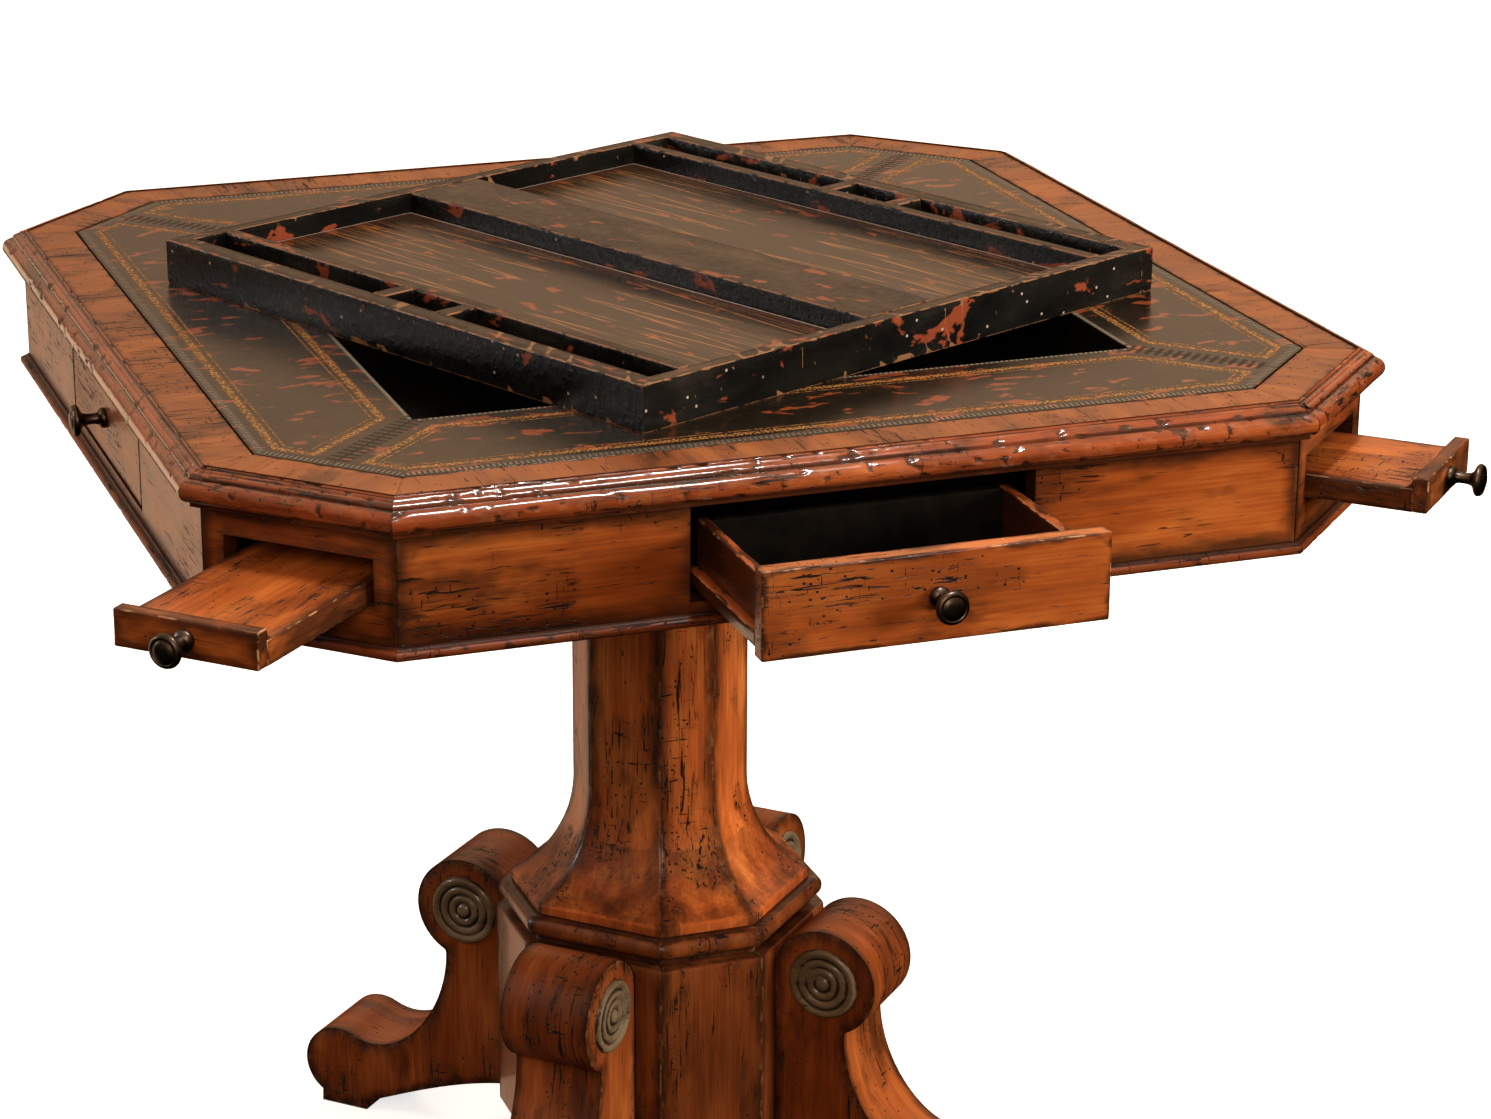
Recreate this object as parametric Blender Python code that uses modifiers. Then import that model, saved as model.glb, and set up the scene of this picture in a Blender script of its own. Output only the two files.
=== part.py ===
"""Gaming table: a leather-topped octagonal table on a pedestal with four scroll legs.

A drawer runs in each straight side and a pull-out slide in each clipped corner. A
backgammon tray lies turned on the leather, above the square well that it fits.
Metres. Z = 0 is the floor, the Z axis is the pedestal's axis and the front faces -Y.
"""

from math import cos, pi, radians, sin, sqrt

import bmesh
import bpy
from mathutils import Matrix, Vector

GAP = 0.0003                     # clearance between pieces that touch

# Octagonal top: half its width across the straight sides, and across the clipped corners
HALF_WIDTH = 0.4572
HALF_CORNER = 0.5645
HEIGHT = 0.762

# Insets from the top's outermost edge
LIP_INSET = 0.0197               # inner edge of the moulded lip
LEATHER_INSET = 0.0568           # outer edge of the leather
APRON_INSET = 0.0159             # face of the apron boards
APRON_THICKNESS = 0.0160
MOULDING_INSET = 0.0091          # outermost line of the base moulding
MOULDING_WIDTH = 0.0380

# Depths below the playing surface
SURFACE_THICKNESS = 0.0017       # leather and crossbanding
LIP_DEPTH = 0.0257
APRON_DEPTH = 0.1049
MOULDING_DEPTH = 0.1136
FLOOR_PANEL_TOP = 0.0978         # panel that closes the carcase from below

# Square well in the top
WELL_HALF = 0.2762
WELL_DEPTH = 0.0357
WELL_FLOOR_THICKNESS = 0.0060
WELL_FRAME_WIDTH = 0.0100

# Drawers, one in each straight side
DRAWER_OPENING_HALF = 0.1279
DRAWER_OPENING_DEPTHS = (0.0285, 0.0975)
DRAWER_FRONT_HALF = 0.12495
DRAWER_FRONT_DEPTHS = (0.0315, 0.0943)
DRAWER_FRONT_THICKNESS = 0.0145
DRAWER_LENGTH = 0.1526
DRAWER_BOX_HALF = 0.1165
DRAWER_BOX_TOP = 0.0440
DRAWER_WALL = 0.0080
DRAWER_BOTTOM = 0.0060
RUNNER_WIDTH = 0.0080            # strip along the outside of the drawer's walls
RUNNER_DEPTHS = (0.0780, 0.0885)
DRAWER_PULLS = {"front": 0.1330, "right": 0.0, "back": 0.0, "left": 0.0}

# Slides, one in each clipped corner
SLIDE_OPENING_HALF = 0.0583
SLIDE_OPENING_DEPTHS = (0.0450, 0.0784)
SLIDE_HALF = 0.0549
SLIDE_DEPTHS = (0.0514, 0.0780)
SLIDE_STEP = 0.0086              # shelf below the top of its front rail
SLIDE_RAIL = 0.0120
SLIDE_COVE = 0.0070
SLIDE_LENGTH = 0.2140
SLIDE_PULLS = {"front_right": 0.0903, "back_right": 0.0, "back_left": 0.0, "front_left": 0.1397}
BEARER_HALF = 0.0450
BEARER_REACH = 0.1300

KNOB_HEIGHT = 0.0275             # how far a knob stands out
KNOB_RADIUS = 0.0120

# Backgammon tray, turned on the leather
TRAY_HALF = 0.2732
TRAY_HEIGHT = 0.0351
TRAY_TURN = radians(24.55)
TRAY_SIDE = 0.0186               # walls along the checker wells
TRAY_END = 0.0135                # walls at the ends of the fields
TRAY_FLOOR = 0.0060
TRAY_BAR_HALF = 0.0360
TRAY_RAIL = (0.2143, 0.2254)     # from and to, measured from the tray's middle
TRAY_DIVIDER = (0.0291, 0.0429)
FIELD_RECESS = 0.0163

# Pedestal: heights above the floor, radii to the octagon's corners
CORNER_ANGLE = radians(18.5)     # between an axis and the nearest corner
PLATE_HALF = 0.1200
PLATE_THICKNESS = 0.0160
COLUMN_RADIUS = 0.0720
FLARE_TOP = 0.3520
FLARE_FOOT = 0.2650
FLARE_RADIUS = 0.1239
FLARE_SWEEP = radians(65)
RIM_FOOT = 0.2575
COLLAR_RADIUS = 0.1261
COLLAR_BEAD = 0.0085
COLLAR_FOOT = 0.2340
BLOCK_RADIUS = 0.1365
BLOCK_STEP = (0.0550, 0.0350)    # the block narrows between these heights
BLOCK_FOOT_RADIUS = 0.1180
BLOCK_FOOT = 0.0060

# Scroll legs: outline points are (distance from the axis, height)
LEG_HALF = 0.0385
VOLUTE_CENTRE = (0.1650, 0.2095)
VOLUTE_RADIUS = 0.0448
ROUNDEL_RADIUS = 0.0300
ROUNDEL_PROUD = 0.0035
TOE_CENTRE = (0.2920, 0.0390)
TOE_RADIUS = 0.0330
PAD = (0.2660, 0.3100)

SIDES = {"front": 0.0, "right": pi / 2, "back": pi, "left": 3 * pi / 2}
CORNERS = {
    "front_right": pi / 4,
    "back_right": 3 * pi / 4,
    "back_left": 5 * pi / 4,
    "front_left": 7 * pi / 4,
}

# name: (colour, roughness, metallic)
MATERIALS = {
    "walnut": ((0.245, 0.068, 0.018), 0.28, 0.0),
    "dark_wood": ((0.085, 0.026, 0.010), 0.45, 0.0),
    "crossband": ((0.330, 0.100, 0.026), 0.28, 0.0),
    "leather": ((0.172, 0.107, 0.054), 0.35, 0.0),
    "lacquer": ((0.018, 0.016, 0.015), 0.25, 0.0),
    "field": ((0.150, 0.098, 0.052), 0.35, 0.0),
    "bronze": ((0.105, 0.088, 0.066), 0.38, 1.0),
}


def new_collection(name):
    collection = bpy.data.collections.new(name)
    bpy.context.scene.collection.children.link(collection)
    return collection


def principled(name):
    colour, roughness, metallic = MATERIALS[name]
    material = bpy.data.materials.new(name)
    material.use_nodes = True
    shader = material.node_tree.nodes["Principled BSDF"]
    shader.inputs["Base Color"].default_value = (*colour, 1.0)
    shader.inputs["Roughness"].default_value = roughness
    shader.inputs["Metallic"].default_value = metallic
    return material


def place(data, name, material=None, parent=None, location=(0, 0, 0), turn=(0, 0, 0)):
    """An object for this mesh, curve or None, in the table's collection."""
    obj = bpy.data.objects.new(name, data)
    table.objects.link(obj)
    if material:
        data.materials.append(materials[material])
    obj.parent = parent
    obj.location = location
    obj.rotation_euler = turn
    return obj


def empty(name, location, angle):
    return place(None, name, location=location, turn=(0, 0, angle))


def outward(angle, distance, height=0.0):
    """The point at a distance out from the pedestal's axis on the side at this angle."""
    return (distance * sin(angle), -distance * cos(angle), height)


def arc(centre, radius, start, end, steps):
    """Points along an arc, from one angle in degrees to another."""
    points = []
    for i in range(steps + 1):
        angle = radians(start + (end - start) * i / steps)
        points.append((centre[0] + radius * cos(angle), centre[1] + radius * sin(angle)))
    return points


def bezier(p0, p1, p2, p3, steps):
    """Points along a cubic curve, both ends included."""
    points = []
    for i in range(steps + 1):
        t = i / steps
        weights = ((1 - t) ** 3, 3 * t * (1 - t) ** 2, 3 * t * t * (1 - t), t ** 3)
        corners = (p0, p1, p2, p3)
        points.append(tuple(sum(w * p[k] for w, p in zip(weights, corners)) for k in (0, 1)))
    return points


def octagon(half, corner):
    """Corners of an octagon: half its width, and half its width across the clipped corners."""
    short = sqrt(2) * corner - half
    quarter = [(short, -half), (half, -short)]
    points = []
    for i in range(4):
        points += [tuple(Matrix.Rotation(i * pi / 2, 2) @ Vector(p)) for p in quarter]
    return points


def top_octagon(inset):
    return octagon(HALF_WIDTH - inset, HALF_CORNER - inset)


def post_octagon(radius):
    return octagon(radius * cos(CORNER_ANGLE), radius * cos(pi / 4 - CORNER_ANGLE))


def side_half(inset):
    """Half the length of a straight side of the top, at this inset."""
    return sqrt(2) * (HALF_CORNER - inset) - (HALF_WIDTH - inset)


def corner_half(inset):
    """Half the length of a clipped corner of the top, at this inset."""
    return (HALF_WIDTH - inset - side_half(inset)) / sqrt(2)


def loft(name, rings, material, closed=False):
    """A body through octagons, each a (corners, height) pair, from the bottom up.

    A closed loft joins its last ring to its first, as a mitred moulding does.
    """
    bm = bmesh.new()
    loops = [[bm.verts.new((x, y, z)) for x, y in corners] for corners, z in rings]
    pairs = list(zip(loops, loops[1:]))
    if closed:
        pairs.append((loops[-1], loops[0]))
    for low, high in pairs:
        for i in range(8):
            j = (i + 1) % 8
            bm.faces.new((low[i], low[j], high[j], high[i]))
    if not closed:
        bm.faces.new(reversed(loops[0]))
        bm.faces.new(loops[-1])
    bmesh.ops.recalc_face_normals(bm, faces=bm.faces)
    mesh = bpy.data.meshes.new(name)
    bm.to_mesh(mesh)
    bm.free()
    return place(mesh, name, material)


def moulding(name, profile, material):
    """A mitred moulding round the top: the profile's points are (inset, depth)."""
    rings = [(top_octagon(inset), HEIGHT - depth) for inset, depth in profile]
    return loft(name, rings, material, closed=True)


def cube_mesh(name, low, high):
    bm = bmesh.new()
    bmesh.ops.create_cube(bm, size=1)
    size = Vector(high) - Vector(low)
    middle = (Vector(high) + Vector(low)) / 2
    bmesh.ops.transform(bm, matrix=Matrix.Translation(middle) @ Matrix.Diagonal((*size, 1)), verts=bm.verts)
    mesh = bpy.data.meshes.new(name)
    bm.to_mesh(mesh)
    bm.free()
    return mesh


def board(name, low, high, material, parent=None, angle=0.0, bevel=0.0):
    """A straight board between two opposite corners."""
    obj = place(cube_mesh(name, low, high), name, material, parent, turn=(0, 0, angle))
    if bevel:
        rounding = obj.modifiers.new("edges", "BEVEL")
        rounding.width = bevel
        rounding.segments = 2
    return obj


def cutter(name, low, high, parent=None, angle=0.0):
    obj = place(cube_mesh(name, low, high), name, parent=parent, turn=(0, 0, angle))
    table.objects.unlink(obj)
    cutters.objects.link(obj)
    obj.hide_render = True
    obj.display_type = "WIRE"
    return obj


def combine(obj, other, operation):
    boolean = obj.modifiers.new(operation.lower(), "BOOLEAN")
    boolean.operation = operation
    boolean.object = other


def plate(name, outlines, thickness, material, parent=None, location=(0, 0, 0), turn=(0, 0, 0)):
    """A flat plate with this outline, and any further outlines as holes, about its mid-plane."""
    curve = bpy.data.curves.new(name, "CURVE")
    curve.dimensions = "2D"
    curve.fill_mode = "BOTH"
    curve.extrude = thickness / 2
    for outline in outlines:
        spline = curve.splines.new("POLY")
        spline.points.add(len(outline) - 1)
        spline.use_cyclic_u = True
        for point, (x, y) in zip(spline.points, outline):
            point.co = (x, y, 0, 1)
    return place(curve, name, material, parent, location, turn)


def level_plate(name, outlines, depths, material, parent=None, angle=0.0):
    """A level plate between two depths below the playing surface."""
    top, bottom = depths
    height = HEIGHT - (top + bottom) / 2
    return plate(name, outlines, bottom - top, material, parent, (0, 0, height), (0, 0, angle))


def upright_plate(name, outline, thickness, material, angle=0.0, parent=None):
    """A plate that stands on a line out from the axis: outline points are (distance, height)."""
    return plate(name, [outline], thickness, material, parent, turn=(pi / 2, 0, angle - pi / 2))


def as_mesh(curve_object):
    """The same piece as a closed mesh, which a Boolean can cut."""
    bpy.context.view_layer.update()
    evaluated = curve_object.evaluated_get(bpy.context.evaluated_depsgraph_get())
    mesh = bpy.data.meshes.new_from_object(evaluated)
    bm = bmesh.new()
    bm.from_mesh(mesh)
    bmesh.ops.remove_doubles(bm, verts=bm.verts, dist=0.00002)
    bmesh.ops.recalc_face_normals(bm, faces=bm.faces)
    bm.to_mesh(mesh)
    bm.free()
    name = curve_object.name
    parent = curve_object.parent
    location = curve_object.location.copy()
    turn = curve_object.rotation_euler.copy()
    bpy.data.objects.remove(curve_object)
    return place(mesh, name, None, parent, location, turn)


def turned(name, profile, steps, material=None, parent=None, location=(0, 0, 0), turn=(0, 0, 0)):
    """A turned piece: the profile's points are (radius, height), from the top down."""
    mesh = bpy.data.meshes.new(name)
    edges = [(i, i + 1) for i in range(len(profile) - 1)]
    mesh.from_pydata([(radius, 0, height) for radius, height in profile], edges, [])
    obj = place(mesh, name, material, parent, location, turn)
    screw = obj.modifiers.new("lathe", "SCREW")
    screw.steps = steps
    screw.render_steps = steps
    screw.use_merge_vertices = True
    screw.merge_threshold = 0.00005
    screw.use_smooth_shade = True
    return obj


def square(half_x, half_y):
    return [(-half_x, -half_y), (half_x, -half_y), (half_x, half_y), (-half_x, half_y)]


def make_top():
    """The board, its leather and crossbanding, and the moulded lip round it."""
    board_outlines = [top_octagon(LIP_INSET + GAP), square(WELL_HALF, WELL_HALF)]
    level_plate("top_board", board_outlines, (SURFACE_THICKNESS + GAP, LIP_DEPTH), "dark_wood")
    bands = [top_octagon(LIP_INSET + GAP), top_octagon(LEATHER_INSET - GAP)]
    level_plate("crossband", bands, (0.0, SURFACE_THICKNESS), "crossband")

    # each leather panel runs from a side of the well to a side of the octagon
    half = HALF_WIDTH - LEATHER_INSET
    seam_end = (HALF_CORNER - LEATHER_INSET) / sqrt(2)
    right_edge = [
        (WELL_HALF - GAP, -WELL_HALF),
        (seam_end - GAP, -seam_end),
        (side_half(LEATHER_INSET), -half),
    ]
    left_edge = [(-x, y) for x, y in reversed(right_edge)]
    for side, angle in SIDES.items():
        depths = (0.0, SURFACE_THICKNESS)
        level_plate(f"leather_{side}", [right_edge + left_edge], depths, "leather", angle=angle)

    # a quirk, a small bead and a cove above a large torus
    cove_inset, cove_depth, cove_rise = 0.0128, 0.0022, 0.0040
    torus = 0.0082
    torus_depth = cove_depth + cove_rise + torus
    lip = [(LIP_INSET - GAP, LIP_DEPTH), (LIP_INSET - GAP, 0.0), (0.0180, 0.0)]
    lip += [(0.0174, 0.0016), (0.0160, 0.0016), (0.0154, 0.0006), (0.0140, 0.0006)]
    for angle in (0, 30, 60, 80):
        t = radians(angle)
        lip.append((cove_inset - (cove_inset - torus) * sin(t), cove_depth + cove_rise * (1 - cos(t))))
    lip += [(torus - x, torus_depth - y) for x, y in arc((0, 0), torus, 90, -60, 10)]
    lip += [(0.0078, torus_depth + torus * sin(radians(60))), (0.0078, LIP_DEPTH)]
    moulding("lip_moulding", lip, "walnut")


def make_apron():
    """Eight mitred boards, four with a drawer opening and four with a slide opening."""
    inner = APRON_INSET + APRON_THICKNESS
    depths = (LIP_DEPTH + GAP, APRON_DEPTH)
    runs = (
        (SIDES, HALF_WIDTH, side_half, DRAWER_OPENING_HALF, DRAWER_OPENING_DEPTHS),
        (CORNERS, HALF_CORNER, corner_half, SLIDE_OPENING_HALF, SLIDE_OPENING_DEPTHS),
    )
    for places, distance, half_length, opening_half, (opening_top, opening_bottom) in runs:
        near, far = APRON_INSET - distance, inner - distance
        half_outer = half_length(APRON_INSET) - GAP
        half_inner = half_length(inner) - GAP
        outline = [(-half_outer, near), (half_outer, near), (half_inner, far), (-half_inner, far)]
        for name, angle in places.items():
            apron = as_mesh(level_plate(f"apron_{name}", [outline], depths, "walnut", angle=angle))
            low = (-opening_half, near - 0.01, HEIGHT - opening_bottom)
            high = (opening_half, far + 0.01, HEIGHT - opening_top)
            combine(apron, cutter(f"opening_{name}", low, high, angle=angle), "DIFFERENCE")


def make_carcase():
    """The base moulding, the panel that closes the carcase, the well and the slides' bearers."""
    bead = 0.0040
    bead_inset = MOULDING_INSET + bead
    bead_depth = MOULDING_DEPTH - bead - 0.0002
    inner = MOULDING_INSET + MOULDING_WIDTH
    profile = [(inner, MOULDING_DEPTH), (inner, APRON_DEPTH + GAP), (bead_inset, APRON_DEPTH + GAP)]
    profile += [(bead_inset - x, bead_depth - y) for x, y in arc((0, 0), bead, 90, -90, 8)]
    profile += [(bead_inset, MOULDING_DEPTH)]
    moulding("base_moulding", profile, "walnut")

    panel = top_octagon(APRON_INSET + APRON_THICKNESS + GAP)
    level_plate("carcase_floor", [panel], (FLOOR_PANEL_TOP, APRON_DEPTH), "dark_wood")

    outer = WELL_HALF + WELL_FRAME_WIDTH
    frame_depths = (LIP_DEPTH + GAP, WELL_DEPTH + WELL_FLOOR_THICKNESS)
    outlines = [square(outer, outer), square(WELL_HALF, WELL_HALF)]
    level_plate("well_frame", outlines, frame_depths, "lacquer")
    floor_half = WELL_HALF - GAP
    floor_depths = (WELL_DEPTH, WELL_DEPTH + WELL_FLOOR_THICKNESS)
    level_plate("well_floor", [square(floor_half, floor_half)], floor_depths, "lacquer")

    front = APRON_INSET + APRON_THICKNESS + GAP - HALF_CORNER
    low = (-BEARER_HALF, front, HEIGHT - FLOOR_PANEL_TOP + GAP)
    high = (BEARER_HALF, front + BEARER_REACH, HEIGHT - SLIDE_DEPTHS[1] - GAP)
    for corner, angle in CORNERS.items():
        board(f"slide_bearer_{corner}", low, high, "dark_wood", angle=angle)


def make_knob(name, parent, location):
    """A mushroom knob with a stepped face, on a thin stem with a small foot."""
    head = KNOB_HEIGHT - 0.0022
    profile = [
        (0, KNOB_HEIGHT),
        (0.0042, KNOB_HEIGHT - 0.0004),
        (0.0056, head),
        (0.0086, head),
        (0.0112, head - 0.0018),
        (KNOB_RADIUS, head - 0.0038),
        (0.0108, head - 0.0056),
        (0.0060, head - 0.0075),
        (0.0044, head - 0.0115),
        (0.0044, 0.0050),
        (0.0076, 0.0022),
        (0.0076, 0),
        (0, 0),
    ]
    turned(name, profile, 20, "bronze", parent, location, (pi / 2, 0, 0))


def make_drawer(side, angle):
    """The drawer slides out along its own -Y."""
    pull = DRAWER_PULLS[side]
    hub = empty(f"{side}_drawer", outward(angle, pull), angle)
    face = APRON_INSET - HALF_WIDTH
    top, bottom = (HEIGHT - depth for depth in DRAWER_FRONT_DEPTHS)
    back = face + DRAWER_FRONT_THICKNESS
    low = (-DRAWER_FRONT_HALF, face, bottom)
    board(f"drawer_front_{side}", low, (DRAWER_FRONT_HALF, back, top), "walnut", hub, bevel=0.0008)

    box_front = back + GAP
    box_back = face + DRAWER_LENGTH
    box_top = HEIGHT - DRAWER_BOX_TOP
    low = (-DRAWER_BOX_HALF, box_front, bottom)
    box = board(f"drawer_box_{side}", low, (DRAWER_BOX_HALF, box_back, box_top), "walnut", hub)
    inside = DRAWER_BOX_HALF - DRAWER_WALL
    low = (-inside, box_front - 0.01, bottom + DRAWER_BOTTOM)
    high = (inside, box_back - DRAWER_WALL, box_top + 0.01)
    combine(box, cutter(f"inside_{side}", low, high, hub), "DIFFERENCE")
    for hand, sign in (("right", 1), ("left", -1)):
        near, far = sorted((sign * (DRAWER_BOX_HALF - 0.002), sign * (DRAWER_BOX_HALF + RUNNER_WIDTH)))
        low = (near, box_front + GAP, HEIGHT - RUNNER_DEPTHS[1])
        high = (far, box_back - GAP, HEIGHT - RUNNER_DEPTHS[0])
        combine(box, cutter(f"runner_{side}_{hand}", low, high, hub), "UNION")
    make_knob(f"drawer_knob_{side}", hub, (0, face - GAP, (top + bottom) / 2))


def make_slide(corner, angle):
    """A solid shelf with a raised front rail, coved where the two meet."""
    pull = SLIDE_PULLS[corner]
    hub = empty(f"{corner}_slide", outward(angle, pull), angle)
    face = HALF_CORNER - APRON_INSET
    top, bottom = (HEIGHT - depth for depth in SLIDE_DEPTHS)
    shelf = top - SLIDE_STEP
    rail_back = face - SLIDE_RAIL
    outline = [(face, bottom), (face, top - 0.0012), (face - 0.0012, top), (rail_back, top)]
    cove_centre = (rail_back - SLIDE_COVE, shelf + SLIDE_COVE)
    outline += arc(cove_centre, SLIDE_COVE, 0, -90, 5)
    outline += [(face - SLIDE_LENGTH, shelf), (face - SLIDE_LENGTH, bottom)]
    upright_plate(f"slide_{corner}", outline, 2 * SLIDE_HALF, "walnut", parent=hub)
    make_knob(f"slide_knob_{corner}", hub, (0, -face - GAP, (top + bottom) / 2))


def make_tray():
    """The lift-out backgammon tray, in its own axes: X across the bar and Y along it."""
    hub = empty("tray", (0, 0, HEIGHT + GAP), TRAY_TURN)
    rim = TRAY_HEIGHT
    inner_x = TRAY_HALF - TRAY_SIDE
    inner_y = TRAY_HALF - TRAY_END

    def piece(name, outlines, low, high, material):
        plate(name, outlines, high - low, material, hub, (0, 0, (low + high) / 2))

    frame = [square(TRAY_HALF, TRAY_HALF), square(inner_x, inner_y)]
    piece("tray_frame", frame, 0, rim, "lacquer")
    half_x = inner_x - GAP
    half_y = inner_y - GAP
    piece("tray_floor", [square(half_x, half_y)], 0, TRAY_FLOOR, "lacquer")
    base = TRAY_FLOOR + GAP
    piece("tray_bar", [square(TRAY_BAR_HALF, half_y)], base, rim, "field")

    rail_in, rail_out = TRAY_RAIL
    gate_in, gate_out = TRAY_DIVIDER
    field_from = TRAY_BAR_HALF + GAP
    field_to = rail_in - GAP
    field = [(field_from, -half_y), (field_to, -half_y), (field_to, half_y), (field_from, half_y)]
    rail = [(rail_in, -half_y), (rail_out, -half_y)]
    for low, high in ((-gate_out, -gate_in), (gate_in, gate_out)):
        rail += [(rail_out, low), (half_x, low), (half_x, high), (rail_out, high)]
    rail += [(rail_out, half_y), (rail_in, half_y)]
    for hand, sign in (("right", 1), ("left", -1)):
        mirrored = [(sign * x, y) for x, y in field]
        piece(f"tray_field_{hand}", [mirrored], base, rim - FIELD_RECESS, "field")
        mirrored = [(sign * x, y) for x, y in rail]
        piece(f"tray_rail_{hand}", [mirrored], base, rim, "lacquer")


def make_pedestal():
    """The plate under the carcase, the flared octagonal column, its collar and the block."""
    plate_top = APRON_DEPTH + GAP
    plate_foot = plate_top + PLATE_THICKNESS
    outline = [square(PLATE_HALF, PLATE_HALF)]
    level_plate("column_plate", outline, (plate_top, plate_foot), "dark_wood")

    spread = (FLARE_RADIUS - COLUMN_RADIUS) / (1 - cos(FLARE_SWEEP))
    drop = (FLARE_TOP - FLARE_FOOT) / sin(FLARE_SWEEP)
    steps = 9
    rings = [(post_octagon(FLARE_RADIUS), RIM_FOOT)]
    for i in range(steps, -1, -1):
        t = FLARE_SWEEP * i / steps
        radius = COLUMN_RADIUS + spread * (1 - cos(t))
        rings.append((post_octagon(radius), FLARE_TOP - drop * sin(t)))
    rings.append((post_octagon(COLUMN_RADIUS), HEIGHT - plate_foot - GAP))
    loft("column", rings, "walnut")

    collar_top = RIM_FOOT - GAP
    bead_middle = collar_top - 0.0030 - COLLAR_BEAD
    rings = [(post_octagon(COLLAR_RADIUS + 0.0015), COLLAR_FOOT)]
    for x, y in arc((COLLAR_RADIUS, bead_middle), COLLAR_BEAD, -78, 90, 9):
        rings.append((post_octagon(x), y))
    rings.append((post_octagon(COLLAR_RADIUS), collar_top))
    loft("collar", rings, "walnut")

    step_top, step_foot = BLOCK_STEP
    rings = [
        (post_octagon(BLOCK_FOOT_RADIUS), BLOCK_FOOT),
        (post_octagon(BLOCK_FOOT_RADIUS), step_foot),
        (post_octagon(BLOCK_RADIUS), step_top),
        (post_octagon(BLOCK_RADIUS), COLLAR_FOOT - GAP),
    ]
    loft("pedestal_block", rings, "walnut")


def leg_outline():
    """A scroll leg from the side: a volute at the top, an S-curve and a scrolled toe on a pad."""
    root = BLOCK_RADIUS * cos(pi / 4 - CORNER_ANGLE) + GAP
    volute = arc(VOLUTE_CENTRE, VOLUTE_RADIUS, 158, -64, 22)
    toe = arc(TOE_CENTRE, TOE_RADIUS, 115, -58, 14)
    notch = (volute[-1][0] - 0.0010, volute[-1][1] - 0.0030)
    front = bezier(notch, (0.1840, 0.1080), (0.2330, 0.0480), toe[0], 10)
    sole = bezier((PAD[0] - 0.0020, 0.0090), (0.2350, 0.0200), (0.1800, 0.0480), (root, 0.0560), 8)
    outline = [(root, volute[0][1])] + volute + front[:-1] + toe
    outline += [(PAD[1], 0.0), (PAD[0], 0.0)] + sole
    return outline


def make_leg(corner, angle):
    """An upright scroll with a turned roundel proud of the volute on both sides."""
    name = f"leg_{corner}"
    leg = as_mesh(upright_plate(name, leg_outline(), 2 * LEG_HALF, "walnut", angle))
    proud = ROUNDEL_PROUD
    face = [(0, proud), (0.0060, proud - 0.0006), (0.0090, 0.0012), (0.0130, 0.0012)]
    face += [(0.0155, proud), (0.0190, proud), (0.0210, 0.0012), (0.0250, 0.0012)]
    face += [(0.0270, proud - 0.0006), (ROUNDEL_RADIUS, 0.0008)]
    profile = [(radius, LEG_HALF + height) for radius, height in face]
    profile += [(radius, -height) for radius, height in reversed(profile)]
    distance, height = VOLUTE_CENTRE
    location = outward(angle, distance, height)
    roundel = turned(f"roundel_{corner}", profile, 20, location=location, turn=(pi / 2, 0, angle - pi / 2))
    table.objects.unlink(roundel)
    cutters.objects.link(roundel)
    roundel.hide_render = True
    roundel.display_type = "WIRE"
    combine(leg, roundel, "UNION")


for old in list(bpy.data.objects):
    bpy.data.objects.remove(old)

table = new_collection("gaming_table")
cutters = new_collection("cutters")
materials = {name: principled(name) for name in MATERIALS}

make_top()
make_apron()
make_carcase()
make_pedestal()
for side_name, side_angle in SIDES.items():
    make_drawer(side_name, side_angle)
for corner_name, corner_angle in CORNERS.items():
    make_slide(corner_name, corner_angle)
    make_leg(corner_name, corner_angle)
make_tray()
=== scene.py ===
"""Octagonal gaming table with a tooled leather top, drawers, slides and a backgammon tray.

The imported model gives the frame: metres, Z up, floor at 0, front towards -Y. Each piece below is
drawn in that frame and rides on the CAD body whose nodes it stands for.
"""
import random
from math import ceil, copysign, cos, exp, pi, radians, sin, sqrt

import bpy
from mathutils import Matrix, Vector, noise
from mathutils.geometry import delaunay_2d_cdt


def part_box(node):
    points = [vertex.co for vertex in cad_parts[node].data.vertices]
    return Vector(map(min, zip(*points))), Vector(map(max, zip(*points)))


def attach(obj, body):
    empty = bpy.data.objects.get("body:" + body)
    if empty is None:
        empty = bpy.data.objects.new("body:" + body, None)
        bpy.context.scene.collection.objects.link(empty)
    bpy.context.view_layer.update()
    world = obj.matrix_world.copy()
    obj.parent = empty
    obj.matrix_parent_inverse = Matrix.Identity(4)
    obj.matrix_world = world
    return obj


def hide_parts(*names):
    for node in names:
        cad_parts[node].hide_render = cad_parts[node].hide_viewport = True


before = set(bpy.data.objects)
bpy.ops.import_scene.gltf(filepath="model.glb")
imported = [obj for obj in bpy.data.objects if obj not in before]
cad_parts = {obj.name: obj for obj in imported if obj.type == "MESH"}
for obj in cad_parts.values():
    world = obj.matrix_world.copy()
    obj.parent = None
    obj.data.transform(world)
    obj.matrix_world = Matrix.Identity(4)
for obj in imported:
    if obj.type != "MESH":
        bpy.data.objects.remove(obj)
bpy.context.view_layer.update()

# The table, in metres
HEIGHT = 0.762                   # playing surface above the floor
HALF_WIDTH = 0.4572
HALF_CORNER = 0.5645             # half the width across the clipped corners
LIP_INSET = 0.0197
LEATHER_INSET = 0.0568
LEATHER_GROOVE = 0.0013          # the dark line round the leather
APRON_INSET = 0.0159
APRON_THICKNESS = 0.0160
LIP_DEPTH = 0.0257
APRON_DEPTH = 0.1049
MOULDING_INSET = 0.0091
MOULDING_DEPTH = 0.1136
WELL_HALF = 0.2762
DRAWER_OPENING = (0.1279, 0.0285, 0.0975)    # half width, and top and bottom depth
SLIDE_OPENING = (0.0583, 0.0450, 0.0784)
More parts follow.
